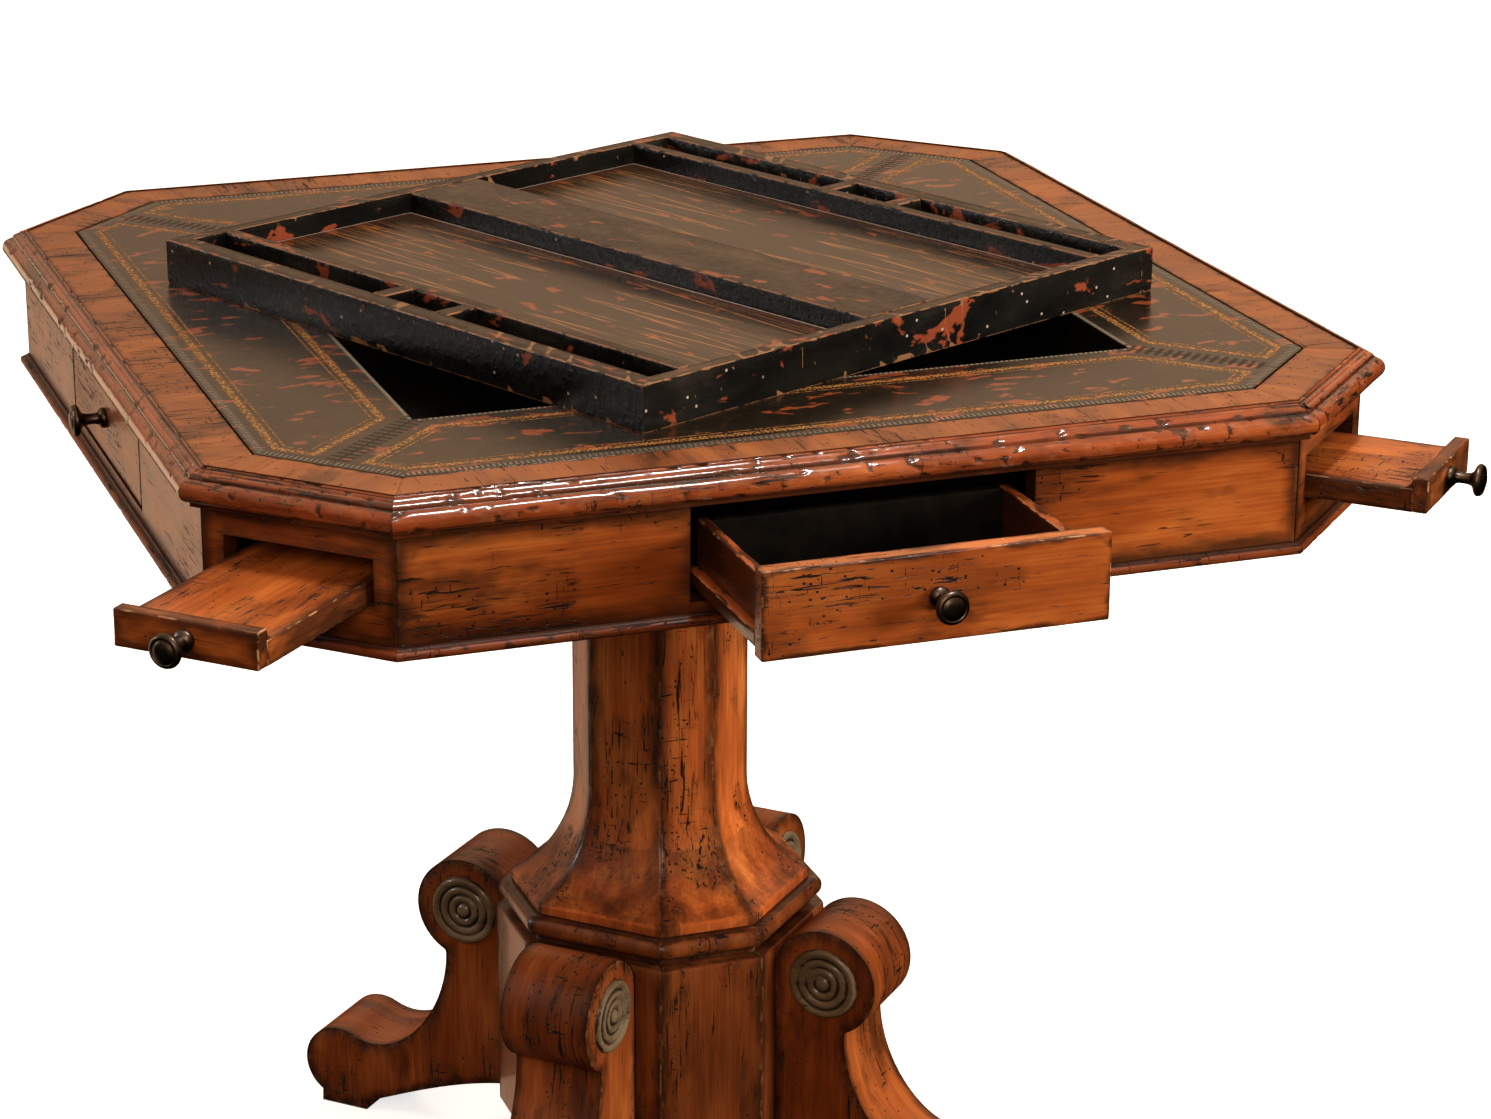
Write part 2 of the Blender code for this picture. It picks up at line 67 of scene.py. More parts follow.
DRAWER_FRONT_HALF = 0.12495
DRAWER_FRONT_DEPTHS = (0.0315, 0.0943)
DRAWER_FRONT_THICKNESS = 0.0145
DRAWER_LENGTH = 0.1526
DRAWER_BOX_HALF = 0.1165
DRAWER_BOX_TOP = 0.0440
DRAWER_WALL = 0.0080
DRAWER_BOTTOM = 0.0060
RUNNER_WIDTH = 0.0080
RUNNER_DEPTHS = (0.0780, 0.0885)
SLIDE_HALF = 0.0549
SLIDE_DEPTHS = (0.0514, 0.0780)
SLIDE_STEP = 0.0086
SLIDE_RAIL = 0.0120
SLIDE_COVE = 0.0070
SLIDE_LENGTH = 0.2140
SLIDE_PULLS = {"front_right": 0.0903, "front_left": 0.1397}    # how far each is out at rest
GAP = 0.0003

TRAY_HALF = 0.2732
TRAY_HEIGHT = 0.0351
TRAY_TURN = radians(24.55)
TRAY_SIDE = 0.0186
TRAY_END = 0.0135
TRAY_FLOOR = 0.0060
TRAY_BAR_HALF = 0.0360
TRAY_RAIL = (0.2143, 0.2254)
TRAY_DIVIDER = (0.0291, 0.0429)
FIELD_RECESS = 0.0163
RUB_WIDTH = 0.0016                # of the rounded edges of a leg

CORNER_ANGLE = radians(18.5)
COLUMN_TOP = 0.6405
COLUMN_RADIUS = 0.0720
FLARE_TOP = 0.3520
FLARE_FOOT = 0.2650
FLARE_RADIUS = 0.1239
FLARE_SWEEP = radians(65)
RIM_FOOT = 0.2575
COLLAR_RADIUS = 0.1261
COLLAR_BEAD = 0.0085
COLLAR_FOOT = 0.2340
BLOCK_RADIUS = 0.1365
BLOCK_STEP = (0.0550, 0.0350)
BLOCK_FOOT_RADIUS = 0.1180
BLOCK_FOOT = 0.0060

LEG_HALF = 0.0385
VOLUTE_CENTRE = (0.1650, 0.2095)
VOLUTE_RADIUS = 0.0448
ROUNDEL_RADIUS = 0.0300
TOE_CENTRE = (0.2920, 0.0390)
TOE_RADIUS = 0.0330
PAD = (0.2660, 0.3100)
LEG_NET = 0.0052                 # spacing of the points inside a leg's side

SIDES = {"front": 0.0, "right": pi / 2, "back": pi, "left": 3 * pi / 2}
CORNERS = {
    "front_right": pi / 4,
    "back_right": 3 * pi / 4,
    "back_left": 5 * pi / 4,
    "front_left": 7 * pi / 4,
}

CAMERA_PLACE = (-0.9563, -2.8159, 1.5768)
CAMERA_YAW = radians(20.087)
CAMERA_PITCH = radians(19.303)
CAMERA_ROLL = radians(0.335)
CAMERA_LENS = 94.5

dice = random.Random(7)


# -------- materials

LOOKS = {}                       # every material by its own name
# the colour of the dark glaze, and of the shade painted into recesses
GLAZE_AND_SHADE = (0.022, 0.008, 0.004)
WARM_TINT = (1.0, 0.88, 0.70, 1.0)


class Value:
    """The output of a material's node, with ordinary arithmetic."""

    def __init__(self, shader, socket):
        self.shader, self.socket = shader, socket

    def __add__(self, other):
        return self.shader.maths("ADD", self, other)

    def __sub__(self, other):
        return self.shader.maths("SUBTRACT", self, other)

    def __rsub__(self, other):
        return self.shader.maths("SUBTRACT", other, self)

    def __mul__(self, other):
        return self.shader.maths("MULTIPLY", self, other)

    def __truediv__(self, other):
        return self.shader.maths("DIVIDE", self, other)

    def __lt__(self, other):
        return self.shader.maths("LESS_THAN", self, other)

    def __gt__(self, other):
        return self.shader.maths("GREATER_THAN", self, other)

    def __abs__(self):
        return self.shader.maths("ABSOLUTE", self)


def most(a, b):
    return a.shader.maths("MAXIMUM", a, b)


def least(a, b):
    return a.shader.maths("MINIMUM", a, b)


class Shader:
    """A procedural material, built node by node."""

    def __init__(self, name, **sockets):
        self.material = LOOKS[name] = bpy.data.materials.new(name)
        self.material.use_nodes = True
        self.tree = self.material.node_tree
        self.surface = self.tree.nodes["Principled BSDF"]
        for socket, value in sockets.items():
            self.set(socket, value)

    def set(self, socket, value):
        self.put(self.surface.inputs[socket.replace("_", " ")], value)

    def put(self, socket, value):
        if isinstance(value, Value):
            self.tree.links.new(value.socket, socket)
        elif isinstance(value, tuple) and len(value) == 3 and socket.type == "RGBA":
            socket.default_value = (*value, 1.0)
        else:
            socket.default_value = value

    def node(self, kind, output, *values, **settings):
        """A new node with these first inputs and settings, and its output of that name or number."""
        node = self.tree.nodes.new("ShaderNode" + kind)
        for name, setting in settings.items():
            setattr(node, name, setting)
        for socket, value in zip(node.inputs, values):
            self.put(socket, value)
        return Value(self, node.outputs[output])

    def attribute(self, name, output="Vector"):
        return self.node("Attribute", output, attribute_name=name)

    def place(self):
        return self.node("TexCoord", "Object")

    def parts(self, vector):
        split = self.node("SeparateXYZ", 0, vector).socket.node
        return [Value(self, output) for output in split.outputs]

    def maths(self, operation, *values):
        return self.node("Math", 0, *values, operation=operation)

    def step(self, value, low, high, to_low=0.0, to_high=1.0):
        """Smoothly from to_low to to_high as the value goes from low to high."""
        return self.node("MapRange", 0, value, low, high, to_low, to_high, interpolation_type="SMOOTHSTEP")

    def level(self):
        """1 where the surface faces up."""
        return self.step(self.parts(self.node("NewGeometry", "Normal"))[2], 0.70, 0.95)

    def stretch(self, vector, scale, shift=(0, 0, 0)):
        mapping = self.node("Mapping", 0, vector)
        mapping.socket.node.inputs["Scale"].default_value = scale
        mapping.socket.node.inputs["Location"].default_value = shift
        return mapping

    def noise(self, vector, scale, detail=2.0, roughness=0.5, distortion=0.0, shift=(0, 0, 0)):
        texture = self.node("TexNoise", 0, self.stretch(vector, scale, shift))
        inputs = texture.socket.node.inputs
        numbers = (1.0, detail, roughness, distortion)
        for name, number in zip(("Scale", "Detail", "Roughness", "Distortion"), numbers):
            inputs[name].default_value = number
        return texture

    def cells(self, vector, scale):
        """The distance to the nearest of many scattered spots, and that spot's own random colour."""
        texture = self.node("TexVoronoi", "Distance", self.stretch(vector, scale))
        node = texture.socket.node
        node.inputs["Scale"].default_value = 1.0
        return texture, Value(self, node.outputs["Color"])

    def ramp(self, value, places, colours):
        ramp = self.node("ValToRGB", 0, value)
        elements = ramp.socket.node.color_ramp.elements
        while len(elements) < len(places):
            elements.new(0.5)
        for element, position, colour in zip(elements, places, colours):
            element.position = position
            element.color = (*colour, 1.0)
        return ramp

    def mix(self, share, a, b):
        mixed = self.node("Mix", 2, share, data_type="RGBA")
        inputs = mixed.socket.node.inputs
        self.put(inputs[6], a)
        self.put(inputs[7], b)
        return mixed

    def bump(self, height, distance, strength):
        bump = self.node("Bump", 0)
        inputs = bump.socket.node.inputs
        for name, value in (("Distance", distance), ("Strength", strength), ("Height", height)):
            self.put(inputs[name], value)
        self.set("Normal", bump)


def wood(name, dark, mid, light, scratches, edge_reach=0.016, roughness=0.34, coat=0.30, glaze_and_shade=GLAZE_AND_SHADE,
         painted_top_highlight=None):
    """Distressed, glazed and polished wood. The grain runs along the grain attribute's first axis."""
    s = Shader(name, Specular_IOR_Level=0.32)
    p = s.attribute("grain")
    figure = s.noise(p, (3.2, 34, 34), 4, 0.6, 0.5)
    fine = s.noise(p, (16, 420, 420), 3, 0.6)
    cloud = s.noise(p, (7, 15, 15), 3, 0.55, shift=(3, 1, 2))
    colour = s.ramp(figure * 0.36 + fine * 0.22 + cloud * 0.42, (0.34, 0.49, 0.64), (dark, mid, light))
    # upward faces take a lighter colour: a painted highlight where light falls on the tops
    if painted_top_highlight:
        colour = s.mix(s.level(), colour, painted_top_highlight)

    # dark glaze along edges, and painted shade in recesses, grooves, openings and under overhangs
    ragged = (s.noise(p, (22, 60, 60), 3, 0.6, shift=(5, 5, 5)) - 0.5) * 0.020
    shade = s.step(s.attribute("edge", "Fac") + ragged, 0.0, edge_reach, 0.88, 0.0)
    colour = s.mix(shade, colour, glaze_and_shade)
    stain = s.step(s.noise(p, (9, 22, 22), 4, 0.65, shift=(9, 2, 4)), 0.54, 0.70, 0.0, 0.62)
    colour = s.mix(stain, colour, glaze_and_shade)

    # rasped dashes along the grain, a few across it, and worm holes, in patches
    patch = s.noise(p, (9, 19, 19), shift=(1, 7, 3))
    patch = s.step(patch, 0.63 - 0.2 * scratches, 0.71 - 0.2 * scratches)
    colour = s.mix(patch * 0.30, colour, glaze_and_shade)
    dash = s.step(s.noise(p, (26, 330, 330), 3, 0.6, 0.7, (2, 0, 0)), 0.575, 0.625)
    score = s.step(s.noise(p, (430, 50, 50), 2, 0.5, 0.5, (0, 4, 0)), 0.66, 0.70)
    from_hole, chance = s.cells(p, (210, 230, 230))
    chance = s.parts(chance)
    hole = s.step(from_hole, 0.30, 0.16) * s.step(chance[0], 0.74, 0.76)
    stray = s.step(s.noise(p, (34, 500, 500), 2, 0.5, 0.8, (8, 3, 1)), 0.68, 0.72, 0.0, 0.9)
    fleck = s.step(from_hole, 0.24, 0.12) * s.step(chance[2], 0.955, 0.96)
    marks = most(most(most(dash, score), hole) * patch, most(stray, fleck))
    colour = s.mix(marks, colour, (0.008, 0.004, 0.003))

    # the finish rubbed through on raised edges
    rub = s.attribute("wear", "Fac") * s.step(s.noise(p, (70, 120, 120), 3, 0.6, shift=(6, 6, 1)), 0.50, 0.62)
    s.set("Base Color", s.mix(rub * 0.55, colour, (0.62, 0.33, 0.16)))
    s.set("Roughness", s.step(cloud, 0.3, 0.7, roughness - 0.06, roughness + 0.08) + marks * 0.3)
    s.set("Coat Weight", coat)
    s.set("Coat Roughness", 0.10)
    s.bump(fine * 0.18 + (marks * -0.9 + cloud * 0.8), 0.0009, 0.8)


def leather():
    """Glossy olive-brown leather with brick-red rubbing and worn gold tooling along its borders."""
    s = Shader("leather", Specular_IOR_Level=0.50, Specular_Tint=WARM_TINT)
    p = s.place()
    x, y, _ = s.parts(p)
    x, y = abs(x), abs(y)
    far, near = most(x, y), least(x, y)
    across, along = (far - near) * sqrt(0.5), (far + near) * sqrt(0.5)
    from_side = HALF_WIDTH - LEATHER_INSET - far
    from_corner = HALF_CORNER - LEATHER_INSET - along
    from_edge = least(from_side, from_corner)
    straight = from_side < from_corner
    run = straight * near + (1.0 - straight) * across
    from_well = far - WELL_HALF

    grain, _ = s.cells(p, (520, 520, 520))
    cloud = s.noise(p, (7, 7, 7), 4, 0.6)
    fine = s.noise(p, (120, 160, 120), 3, 0.6)
    tones = (0.004, 0.003, 0.002), (0.010, 0.007, 0.004), (0.026, 0.017, 0.008)
    colour = s.ramp(cloud * 0.7 + fine * 0.3, (0.36, 0.50, 0.64), tones)
    blot = s.noise(p, (30, 62, 60), 3, 0.6, 0.5, (4, 0, 0))
    colour = s.mix(s.step(blot, 0.585, 0.635, 0.0, 0.80), colour, (0.200, 0.045, 0.014))

    def line(distance, at, width):
        return s.step(abs(distance - at), width, width * 0.4)

    def teeth(position, pitch):
        return s.step(s.maths("PINGPONG", position, pitch / 2), pitch / 4, pitch / 4 + 0.0003)

    # each panel has one closed gold border, held off its outer edge, its seams and the well
    off_edge, off_seam, off_well = from_edge - 0.0180, across - 0.0210, from_well - 0.0200
    off_others = least(off_seam, off_well)
    border = least(off_edge, off_others)
    by_edge = off_edge < off_others
    by_seam = (1.0 - by_edge) * (off_seam < off_well)
    by_well = 1.0 - by_edge - by_seam
    position = by_edge * run + (by_seam * along + by_well * near)
    wave = (s.maths("PINGPONG", position, 0.0032) - 0.0016) * 1.3
    rope = most(s.step(abs(border - wave), 0.0024, 0.0014), s.step(abs(border + wave), 0.0022, 0.0012))
    worn = s.step(s.noise(p, (400, 400, 400), 3, 0.7, shift=(1, 5, 2)), 0.42, 0.56, 0.08, 1.0)
    gold = most(rope * worn, line(border, 0.0066, 0.0012) * (worn * 0.7))

    # ladders of dark dashes across the seams and along the outer edge, and beads along the well
    dark = s.step(across, 0.0095, 0.0088) * (from_edge > 0.0100) * teeth(along, 0.0072)
    by_rim = line(from_well, 0.0016, 0.0022)
    stitch = most(line(from_edge, 0.0062, 0.0046) * teeth(run, 0.0040), by_rim * teeth(near, 0.0040))
    beads = most(by_rim, line(from_edge, 0.0062, 0.0042) * 0.45)
    joint = most(s.step(across, 0.0006, 0.0002), s.step(from_edge, 0.0016, 0.0008))
    colour = s.mix(beads * 0.5, colour, (0.34, 0.30, 0.22))
    colour = s.mix(most(dark, stitch) * 0.92, colour, (0.006, 0.005, 0.004))
    colour = s.mix(joint, colour, (0.004, 0.003, 0.003))
    s.set("Base Color", s.mix(gold * 0.9, colour, (0.330, 0.145, 0.034)))
    pressed = most(dark, most(stitch, joint))
    s.set("Roughness", s.step(cloud, 0.3, 0.7, 0.18, 0.26) + pressed * 0.35)
    s.bump(grain * 0.08 + (fine * 0.18 + most(gold, pressed) * -0.7), 0.0006, 0.7)


def lacquer():
    """Black lacquer over red on the sides; dark olive-brown on the level rims, with thin rubbed edges."""
    s = Shader("lacquer", Specular_IOR_Level=0.20)
    p = s.attribute("grain")
    cloud = s.noise(p, (11, 26, 26), 4, 0.6)
    fine = s.noise(p, (170, 110, 110), 4, 0.65)
    tones = (0.002, 0.002, 0.002), (0.006, 0.006, 0.005), (0.018, 0.015, 0.012)
    colour = s.ramp(cloud, (0.35, 0.55, 0.70), tones)
    patch = s.noise(p, (17, 30, 30), 4, 0.62, 0.5, (3, 8, 1))
    colour = s.mix(s.step(patch, 0.590, 0.625, 0.0, 0.9), colour, (0.190, 0.040, 0.016))
    # pale specks: painted glints on the lacquer
    from_glint_speck, chance = s.cells(p, (170, 170, 170))
    glint_speck = s.step(from_glint_speck, 0.24, 0.12) * s.step(s.parts(chance)[1], 0.965, 0.975)
    colour = s.mix(glint_speck * 0.8, colour, (0.42, 0.34, 0.27))

    tones = (0.008, 0.005, 0.003), (0.018, 0.011, 0.006), (0.045, 0.028, 0.014)
    brown = s.ramp(cloud, (0.36, 0.50, 0.66), tones)
    blot = s.noise(p, (26, 60, 60), 3, 0.55, 0.4, (4, 0, 0))
    brown = s.mix(s.step(blot, 0.62, 0.67, 0.0, 0.85), brown, (0.190, 0.045, 0.016))
    level = s.level()
    colour = s.mix(level, colour, brown)

    # thin rubbed lines where two faces meet
    rub = s.step(s.noise(p, (60, 90, 90), 3, 0.65, shift=(2, 2, 7)), 0.40, 0.52)
    rub = s.step(s.attribute("edge", "Fac"), 0.0015, 0.0006) * rub
    s.set("Base Color", s.mix(rub * 0.75, colour, (0.230, 0.110, 0.050)))
    s.set("Roughness", s.step(fine, 0.3, 0.7, 0.22, 0.36))
    s.bump(fine * (1.0 - level) + cloud * 0.4, 0.0012, 0.8)


def field():
    """The playing fields: long narrow points drawn in gold on olive-brown."""
    s = Shader("field", Specular_IOR_Level=0.50, Specular_Tint=WARM_TINT)
    p = s.attribute("grain")
    along, across, _ = s.parts(p)
    along, across = abs(along), abs(across)
    edge = s.attribute("edge", "Fac")
    cloud = s.noise(p, (7, 22, 22), 4, 0.62)
    streak = s.noise(p, (6, 520, 520), 3, 0.6)
    tones = (0.009, 0.006, 0.003), (0.017, 0.011, 0.006), (0.036, 0.024, 0.012)
    colour = s.ramp(cloud * 0.55 + streak * 0.45, (0.38, 0.50, 0.62), tones)
    blot = s.noise(p, (30, 60, 60), 3, 0.55, 0.4, (4, 3, 0))
    colour = s.mix(s.step(blot, 0.63, 0.68, 0.0, 0.85), colour, (0.190, 0.042, 0.014))

    pitch = (TRAY_RAIL[0] - TRAY_BAR_HALF) / 6
    length = TRAY_HALF - TRAY_END
    offset = abs(s.maths("MODULO", across - TRAY_BAR_HALF + pitch * 6, pitch) - pitch / 2)
    reach = (length - along) / (length * 0.90)
    half = (1.0 - reach) * (pitch * 0.46)
    outline = s.step(abs(offset - half), 0.0010, 0.0004)
    inside = s.step(half - offset, 0.0, 0.0004)
    hatch = s.step(s.noise(p, (3.0, 620, 0), shift=(7, 1, 0)), 0.58, 0.64)
    near_end = s.step(along, length * 0.25, length * 0.75)
    gold = most(outline * s.step(reach, 1.0, 0.9), inside * hatch * 0.7)
    gold = most(gold, s.step(streak, 0.60, 0.66) * 0.5 * near_end)
    on_field = across > TRAY_BAR_HALF + GAP
    worn = s.step(s.noise(p, (14, 50, 50), 3, 0.65, shift=(1, 5, 2)), 0.36, 0.60)
    colour = s.mix(gold * on_field * (worn * 0.8), colour, (0.34, 0.130, 0.034))

    # painted shade and reflection of the walls along the field's border, and a pale painted highlight line at
    # their foot
    colour = s.mix(s.step(edge, 0.022, 0.0, 0.0, 0.7), colour, (0.050, 0.018, 0.010))
    foot_highlight = s.step(abs(edge - 0.0022), 0.0009, 0.0005)
    s.set("Base Color", s.mix(foot_highlight * 0.55, colour, (0.50, 0.44, 0.36)))
    s.set("Roughness", s.step(cloud, 0.3, 0.7, 0.20, 0.30))
    s.bump(streak * 0.3 + cloud * 0.5, 0.0005, 0.7)


def bronze():
    s = Shader("bronze", Metallic=1.0)
    patina = s.noise(s.attribute("grain"), (70, 70, 70), 3, 0.5)
    tones = (0.060, 0.046, 0.036), (0.095, 0.074, 0.056), (0.160, 0.126, 0.092)
    colour = s.ramp(patina, (0.35, 0.52, 0.70), tones)
    recess = s.step(s.attribute("edge", "Fac"), 0.0012, 0.0, 0.0, 0.8)
    s.set("Base Color", s.mix(recess, colour, (0.010, 0.008, 0.007)))
    s.set("Roughness", s.step(patina, 0.3, 0.7, 0.30, 0.42))
    s.bump(patina, 0.0002, 0.4)


def plain(name, scale, dark, light, **sockets):
    """A plain finish with a faint grain, for what is inside and underneath."""
    s = Shader(name, **sockets)
    grain = s.noise(s.place(), scale, 4, 0.6)
    s.set("Base Color", s.ramp(grain, (0.36, 0.64), (dark, light)))
    s.bump(grain, 0.0006, 0.6)


def floor_finish():
    s = Shader("floor", Roughness=0.7, Emission_Color=(1.0, 1.0, 1.0), Emission_Strength=0.72)
    grain = s.noise(s.place(), (3, 3, 3))
    s.set("Base Color", s.ramp(grain, (0.3, 0.7), ((0.90, 0.90, 0.90), (0.93, 0.93, 0.93))))


# each wood: its dark, middle and light tones, scratches, reach of the edge glaze and painted shade, roughness
# and coat
wood("walnut", (0.100, 0.022, 0.006), (0.270, 0.060, 0.011), (0.450, 0.130, 0.025), 0.62)
wood("lip", (0.090, 0.018, 0.006), (0.210, 0.042, 0.010), (0.350, 0.092, 0.022), 0.66, 0.010, 0.22, 0.7)
wood("crossband", (0.110, 0.030, 0.008), (0.190, 0.056, 0.014), (0.280, 0.092, 0.024), 0.55, 0.005,
     coat=0.04)
# the drawer fronts and walls have painted highlights on their tops
wood("drawer_face", (0.100, 0.023, 0.006), (0.275, 0.064, 0.012), (0.450, 0.132, 0.026), 0.60, 0.005, 0.36,
     0.16, painted_top_highlight=(0.420, 0.125, 0.030))
wood("moulding", (0.060, 0.014, 0.005), (0.160, 0.034, 0.008), (0.270, 0.070, 0.016), 0.62, 0.010, 0.46, 0.0)
# the drawer walls' near-black tones are painted shade, for their part inside the carcase
wood("drawer_side", (0.020, 0.007, 0.003), (0.050, 0.014, 0.005), (0.100, 0.028, 0.009), 0.3, 0.002,
     painted_top_highlight=(0.300, 0.075, 0.020))
wood("column", (0.150, 0.030, 0.009), (0.400, 0.088, 0.018), (0.660, 0.205, 0.046), 0.66, 0.016, 0.38, 0.12)
wood("block", (0.050, 0.012, 0.004), (0.140, 0.034, 0.008), (0.250, 0.070, 0.016), 0.62, 0.012, 0.36, 0.2)
wood("shelf", (0.120, 0.027, 0.007), (0.330, 0.078, 0.014), (0.520, 0.155, 0.030), 0.55, 0.010, 0.36, 0.08)
wood("leg", (0.080, 0.018, 0.006), (0.210, 0.047, 0.010), (0.400, 0.112, 0.026), 0.55, 0.012, 0.40, 0.08)
wood("roundel", (0.060, 0.040, 0.022), (0.140, 0.098, 0.055), (0.230, 0.170, 0.100), 0.2, 0.0030,
     glaze_and_shade=(0.010, 0.006, 0.004))
leather()
lacquer()
field()
bronze()
plain("dark_wood", (5, 60, 60), (0.018, 0.008, 0.005), (0.060, 0.024, 0.012), Roughness=0.55)
# near black: black paint and painted shade inside the well, and painted shade on the drawers' floors and
# backs
plain("black_paint_and_shade", (40, 40, 40), (0.002, 0.002, 0.002), (0.006, 0.005, 0.004), Roughness=0.6,
      Specular_IOR_Level=0.08)
SLOTS = dict.fromkeys(LOOKS, "walnut")
SLOTS.update({look: look for look in ("crossband", "leather", "lacquer", "field", "bronze", "dark_wood")})
SLOTS["black_paint_and_shade"] = "lacquer"


# -------- geometry

def turn_about_z(angle):
    return Matrix.Rotation(angle, 4, "Z")


def outward(angle, distance, height=0.0):
    return Vector((distance * sin(angle), -distance * cos(angle), height))


def side_half(inset):
    return sqrt(2) * (HALF_CORNER - inset) - (HALF_WIDTH - inset)


def corner_half(inset):
    return (HALF_WIDTH - inset - side_half(inset)) / sqrt(2)


def arc(centre, radius, start, end, steps):
    points = []
    for i in range(steps + 1):
        angle = radians(start + (end - start) * i / steps)
        points.append((centre[0] + radius * cos(angle), centre[1] + radius * sin(angle)))
    return points


def bezier(p0, p1, p2, p3, steps):
    points = []
    for i in range(steps + 1):
        t = i / steps
        weights = ((1 - t) ** 3, 3 * t * (1 - t) ** 2, 3 * t * t * (1 - t), t ** 3)
        points.append(tuple(sum(w * p[k] for w, p in zip(weights, (p0, p1, p2, p3))) for k in (0, 1)))
    return points


def spread(low, high, radius, step=0.045):
    """Places across a board: close together at its edges, further apart in the middle."""
    half = (high - low) / 2
    near = [0.0, 0.35 * radius, radius]
    near += [d for d in (0.004, 0.009, 0.018, 0.034) if 1.4 * radius < d < 0.92 * half]
    middle = (high - low) - 2 * near[-1]
    count = max(1, ceil(middle / step))
    inner = [low + near[-1] + middle * i / count for i in range(1, count)]
    return [low + d for d in near] + inner + [high - d for d in reversed(near)]


def stations(half, ends, count):
    """Places along a run from -half to half, close together at its ends."""
    span = half - ends[-1]
    inner = [2 * span * i / count - span for i in range(1, count)]
    return [d - half for d in ends] + inner + [half - d for d in reversed(ends)]


def roughness_at(point, scale, seed=0.0):
    return noise.noise(Vector(point) * scale + Vector((seed, seed * 1.7, seed * 0.6)))


class Shape:
    """The faces of one piece, with each point's place in the wood and its distance from an edge."""

    def __init__(self):
        self.points, self.faces = [], []
        self.grain, self.edge, self.wear = [], [], []

    def point(self, place, grain, edge=0.05, wear=0.0):
        self.points.append(Vector(place))
        self.grain.append(tuple(grain))
        self.edge.append(edge)
        self.wear.append(wear)
        return len(self.points) - 1

    def sheet(self, rows, wrap=False, flip=False):
        """A grid of points, each given as for point()."""
        index = [[self.point(*p) for p in row] for row in rows]
        for low, high in zip(index, index[1:]):
            width = len(low)
            for j in range(width if wrap else width - 1):
                k = (j + 1) % width
                face = (low[j], low[k], high[k], high[j])
                self.faces.append(face[::-1] if flip else face)
        return index

    def board(self, low, high, along, matrix=Matrix(), radius=0.0012, wear=0.0006, shift=None):
        """A board with rounded, slightly worn edges; along is the axis of its grain."""
        shift = shift or Vector([dice.uniform(0, 9) for _ in range(3)])
        seed = shift.x
        axes = [spread(low[k], high[k], min(radius, (high[k] - low[k]) * 0.4)) for k in range(3)]
        order = (along, (along + 1) % 3, (along + 2) % 3)
        made = {}

        def corner(key):
            if key not in made:
                place = Vector([axes[k][key[k]] for k in range(3)])
                r = [min(radius, (high[k] - low[k]) * 0.4) for k in range(3)]
                core = Vector([min(max(place[k], low[k] + r[k]), high[k] - r[k]) for k in range(3)])
                lean = place - core
                away = sorted(min(place[k] - low[k], high[k] - place[k]) for k in range(3))[1]
                turns = sum(abs(c) > 1e-7 for c in lean)
                grain = Vector([place[k] for k in order]) + shift
                if turns > 1:
                    size = max(abs(c) for c in lean)
                    dent = wear * max(0.0, roughness_at(place, 55, seed) + 0.15)
                    place = core + lean.normalized() * (size - dent)
                made[key] = self.point(matrix @ place, grain, away, 1.0 if turns > 1 else 0.0)
            return made[key]

        for axis in range(3):
            u, v = (axis + 1) % 3, (axis + 2) % 3
            for end in (0, len(axes[axis]) - 1):
                for i in range(len(axes[u]) - 1):
                    for j in range(len(axes[v]) - 1):
                        face = []
                        for a, b in ((i, j), (i + 1, j), (i + 1, j + 1), (i, j + 1)):
                            key = [0, 0, 0]
                            key[axis], key[u], key[v] = end, a, b
                            face.append(corner(tuple(key)))
                        self.faces.append(tuple(face if end else face[::-1]))
        return self

    def turned(self, profile, steps, matrix, shift=(0, 0, 0)):
        """A piece turned about Z: profile points are (radius, height) and, if need be, edge; top down."""
        rows = []
        for station in profile:
            radius, height = station[:2]
            edge = station[2] if len(station) > 2 else 0.05
            row = []
            for i in range(steps):
                angle = 2 * pi * i / steps
                place = Vector((radius * cos(angle), radius * sin(angle), height))
                row.append((matrix @ place, place + Vector(shift), edge))
            rows.append(row)
        self.sheet(rows, wrap=True, flip=True)
        return self

    def moulding(self, profile, step=0.006, dent=0.0, seed=0.0):
        """A moulding round the top: profile points are (inset, height, edge), from inside out and down."""
        runs = [(turn_about_z(a), HALF_WIDTH, side_half) for a in SIDES.values()]
        runs += [(turn_about_z(a), HALF_CORNER, corner_half) for a in CORNERS.values()]
        return self.mitred([(*run, profile) for run in runs], step, dent, seed)

    def mitred(self, runs, step, dent, seed):
        """Runs of moulding that meet in mitres: (matrix, distance, half length at an inset, profile)."""
        for number, (matrix, distance, half_length, profile) in enumerate(runs):
            shift = Vector((number * 1.37 + seed, number * 0.7, seed))
            half = half_length(0.01)
            count = max(4, ceil(2 * (half - 0.006) / step))
            places = stations(half, (0.0, 0.0006, 0.0020, 0.0060), count)
            rows = []
            for i, (inset, height, edge) in enumerate(profile):
                before, after = profile[max(i - 1, 0)], profile[min(i + 1, len(profile) - 1)]
                normal = Vector((before[1] - after[1], before[0] - after[0]))
                normal = normal.normalized() if normal.length > 1e-9 else Vector((0, 1))
                row = []
                for place in places:
                    x = place / half * half_length(inset)
                    from_end = half - abs(place)
                    depth = chip = 0.0
                    if dent:
                        spot = Vector((place * 130, inset * 130 + number * 5, height * 130 + seed))
                        chip = max(0.0, noise.noise(spot) - 0.30) * 3.0
                        wave = noise.noise(Vector((place * 16, number * 3.1 + seed, inset * 90))) * 0.25
                        depth = dent * (chip + wave) * (edge > 0.002)
                    out = distance - inset - normal.x * depth
                    point = matrix @ Vector((x, -out, height - normal.y * depth))
                    grain = Vector((x, inset, height)) + shift
